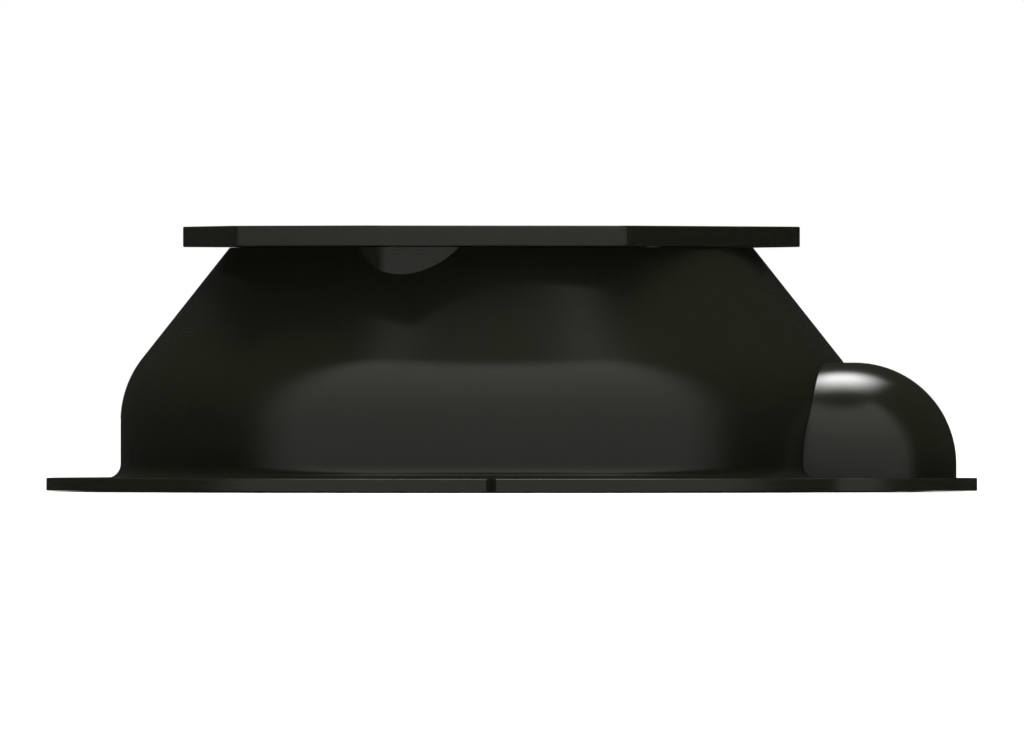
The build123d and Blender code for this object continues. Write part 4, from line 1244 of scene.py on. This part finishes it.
def blade():
    """One twisted blade as a closed skin over sections on cylinders about the shaft."""
    stations, steps = BLADE_STATIONS, BLADE_STEPS
    rows = []
    for i in range(stations + 1):
        share = i / stations
        radius = BLADE_ROOT + (BLADE_TIP - BLADE_ROOT) * share
        pitch = math.radians(BLADE_PITCH[0] + (BLADE_PITCH[1] - BLADE_PITCH[0]) * share)
        chord = BLADE_CHORD[0] + (BLADE_CHORD[1] - BLADE_CHORD[0]) * share
        thick = BLADE_THICK[0] + (BLADE_THICK[1] - BLADE_THICK[0]) * share
        ring = []
        for j in range(2 * steps):
            turn = math.pi * j / steps
            u = math.cos(turn) * chord / 2
            full = min(1.0, abs(math.sin(turn)) * 3) ** 0.5
            side = 1 if j < steps else -1
            v = side * full * thick / 2 + BLADE_CAMBER * (1 - (2 * u / chord) ** 2)
            along = u * math.cos(pitch) - v * math.sin(pitch)
            height = u * math.sin(pitch) + v * math.cos(pitch)
            angle = along / radius
            ring.append(Vector((radius * math.cos(angle), radius * math.sin(angle),
                                BLADE_MIDDLE + height)) * MM)
        rows.append(ring)
    count = 2 * steps
    points = [point for ring in rows for point in ring]
    faces = [tuple(range(count)), tuple(range(len(points) - count, len(points)))]
    for i in range(stations):
        for j in range(count):
            k = (j + 1) % count
            faces.append((i * count + j, i * count + k, (i + 1) * count + k, (i + 1) * count + j))
    mesh = bpy.data.meshes.new("blade")
    mesh.from_pydata(points, [], faces)
    piece = bpy.data.objects.new("blade", mesh)
    scene.collection.objects.link(piece)
    return face_outwards(piece)


hub = turned("hub", rounded([
    (0, HUB_HIGH), (HUB_RADIUS, HUB_HIGH, 2.5), (HUB_RADIUS, HUB_LOW),
    (HUB_RADIUS - HUB_WALL, HUB_LOW), (HUB_RADIUS - HUB_WALL, HUB_HIGH - HUB_WALL),
    (SHAFT_BOSS, HUB_HIGH - HUB_WALL), (SHAFT_BOSS, BOSS_LOW), (SHAFT_RADIUS, BOSS_LOW),
    (SHAFT_RADIUS, HUB_HIGH - 1.5),
    (0, HUB_HIGH - 1.5)]), pbt_satin, 160)
blades = copied("blades", blade(), [(0, 0, 0)] * BLADE_COUNT, pbt_satin, 360 / BLADE_COUNT)
wheel = shaded(joined("fan_wheel_moulding", [hub, blades]), pbt_satin)
settled(wheel, "fan", "fan_wheel", slot="fan_plastic")

# %% [markdown]
# ## The motor's coils
#
# Each of the motor's four poles carries a coil of enamelled copper wire, wound in two layers. The
# wire's path is a helix with rounded corners, worked out in mesh code as one open line. A last
# small tree sweeps a round section along the line, and the copying tree sets a coil on each pole.


# %% Wind one coil and copy it to the four poles
def make_wire_tree():
    """The tree that sweeps a round section along a mesh of edges."""
    tree = bpy.data.node_groups.new("wire", "GeometryNodeTree")
    socket_in(tree, "Path", "NodeSocketGeometry")
    socket_in(tree, "Wire Radius", "NodeSocketFloat", 0.0003)
    socket_in(tree, "Sides", "NodeSocketInt", 8)
    socket_in(tree, "Material", "NodeSocketMaterial")
    tree.interface.new_socket("Mesh", in_out="OUTPUT", socket_type="NodeSocketGeometry")
    given = add(tree, "NodeGroupInput").outputs
    curve = add(tree, "GeometryNodeMeshToCurve", {"Mesh": given["Path"]}).outputs[0]
    section = add(tree, "GeometryNodeCurvePrimitiveCircle", {
        "Resolution": given["Sides"], "Radius": given["Wire Radius"]}).outputs[0]
    swept = add(tree, "GeometryNodeCurveToMesh", {
        "Curve": curve, "Profile Curve": section, "Fill Caps": True}).outputs[0]
    solid = add(tree, "GeometryNodeRealizeInstances", {0: swept})
    named = add(tree, "GeometryNodeSetMaterial", {
        "Geometry": solid.outputs[0], "Material": given["Material"]})
    add(tree, "NodeGroupOutput", {0: named.outputs[0]})
    return tree


COIL_SPAN = (7.6, 11.5)        # along the pole
COIL_CORE = (1.65, 3.05)       # half the pole's width and height
COIL_HEIGHT = 31.7
WIRE = 0.27
COIL_TURNS = 7
SIDE_STEPS = 24                # points in one turn
SQUARE = 1.35                  # how far past round the turns are squared


def coil_path():
    """The wire's centre line: out along the pole in one layer and back in the next."""
    points = []
    total = COIL_TURNS * SIDE_STEPS
    for layer in range(2):
        out = WIRE * (1.1 + 2 * layer)
        for i in range(total + 1):
            share = i / total if layer == 0 else 1 - i / total
            turn = math.tau * i / SIDE_STEPS
            cosine, sine = math.cos(turn), math.sin(turn)
            y = math.copysign(min(1.0, abs(cosine) * SQUARE), cosine) * (COIL_CORE[0] + out)
            z = math.copysign(min(1.0, abs(sine) * SQUARE), sine) * (COIL_CORE[1] + out)
            x = COIL_SPAN[0] + (COIL_SPAN[1] - COIL_SPAN[0]) * share
            points.append((x * MM, y * MM, (COIL_HEIGHT + z) * MM))
    mesh = bpy.data.meshes.new("coil_path")
    mesh.from_pydata(points, [(i, i + 1) for i in range(len(points) - 1)], [])
    return mesh


wire = make_wire_tree()
coil = grown("coil", wire, coil_path(), {
    "Wire Radius": WIRE * MM, "Sides": 8, "Material": enamelled_copper})
coils = copied("stator_coil_windings", coil, [(0, 0, 0)] * 4, enamelled_copper, 90)
shaded(coils, enamelled_copper, 60)
settled(coils, "housing", "stator_coils", slot="copper_wire")

# %% Give the engineering nodes their finishes
node_finish = {
    "flange_seal": epdm_rubber, "dome_seal": epdm_rubber, "terminal_block": polyamide_ivory,
    "terminal_screws": zinc_steel, "cable_grommet": epdm_rubber, "lead_grommet": epdm_rubber,
    "motor_lead": pvc_sleeve, "fan_deck": nylon_grain, "spindle_bush": nylon_natural,
    "screen_frame": nylon_grain, "fan_frame": nylon_grain, "motor_board": circuit_board,
    "stator_core": lamination_steel, "shaft_bush": sintered_bronze,
    "rotor_yoke": lamination_steel, "magnet_ring": ferrite, "fan_shaft": stainless,
    "shaft_clip": spring_steel, "cap_seal": epdm_rubber, "lift_sleeve": nylon_natural,
    "guide_pins": stainless, "spindle_clip": spring_steel,
}
for name, material in node_finish.items():
    slots = frame["nodes"][name].data.materials
    if len(slots) == 0:
        slots.append(material)
    for index in range(len(slots)):
        slots[index] = material
print(len(node_finish), "nodes finished")
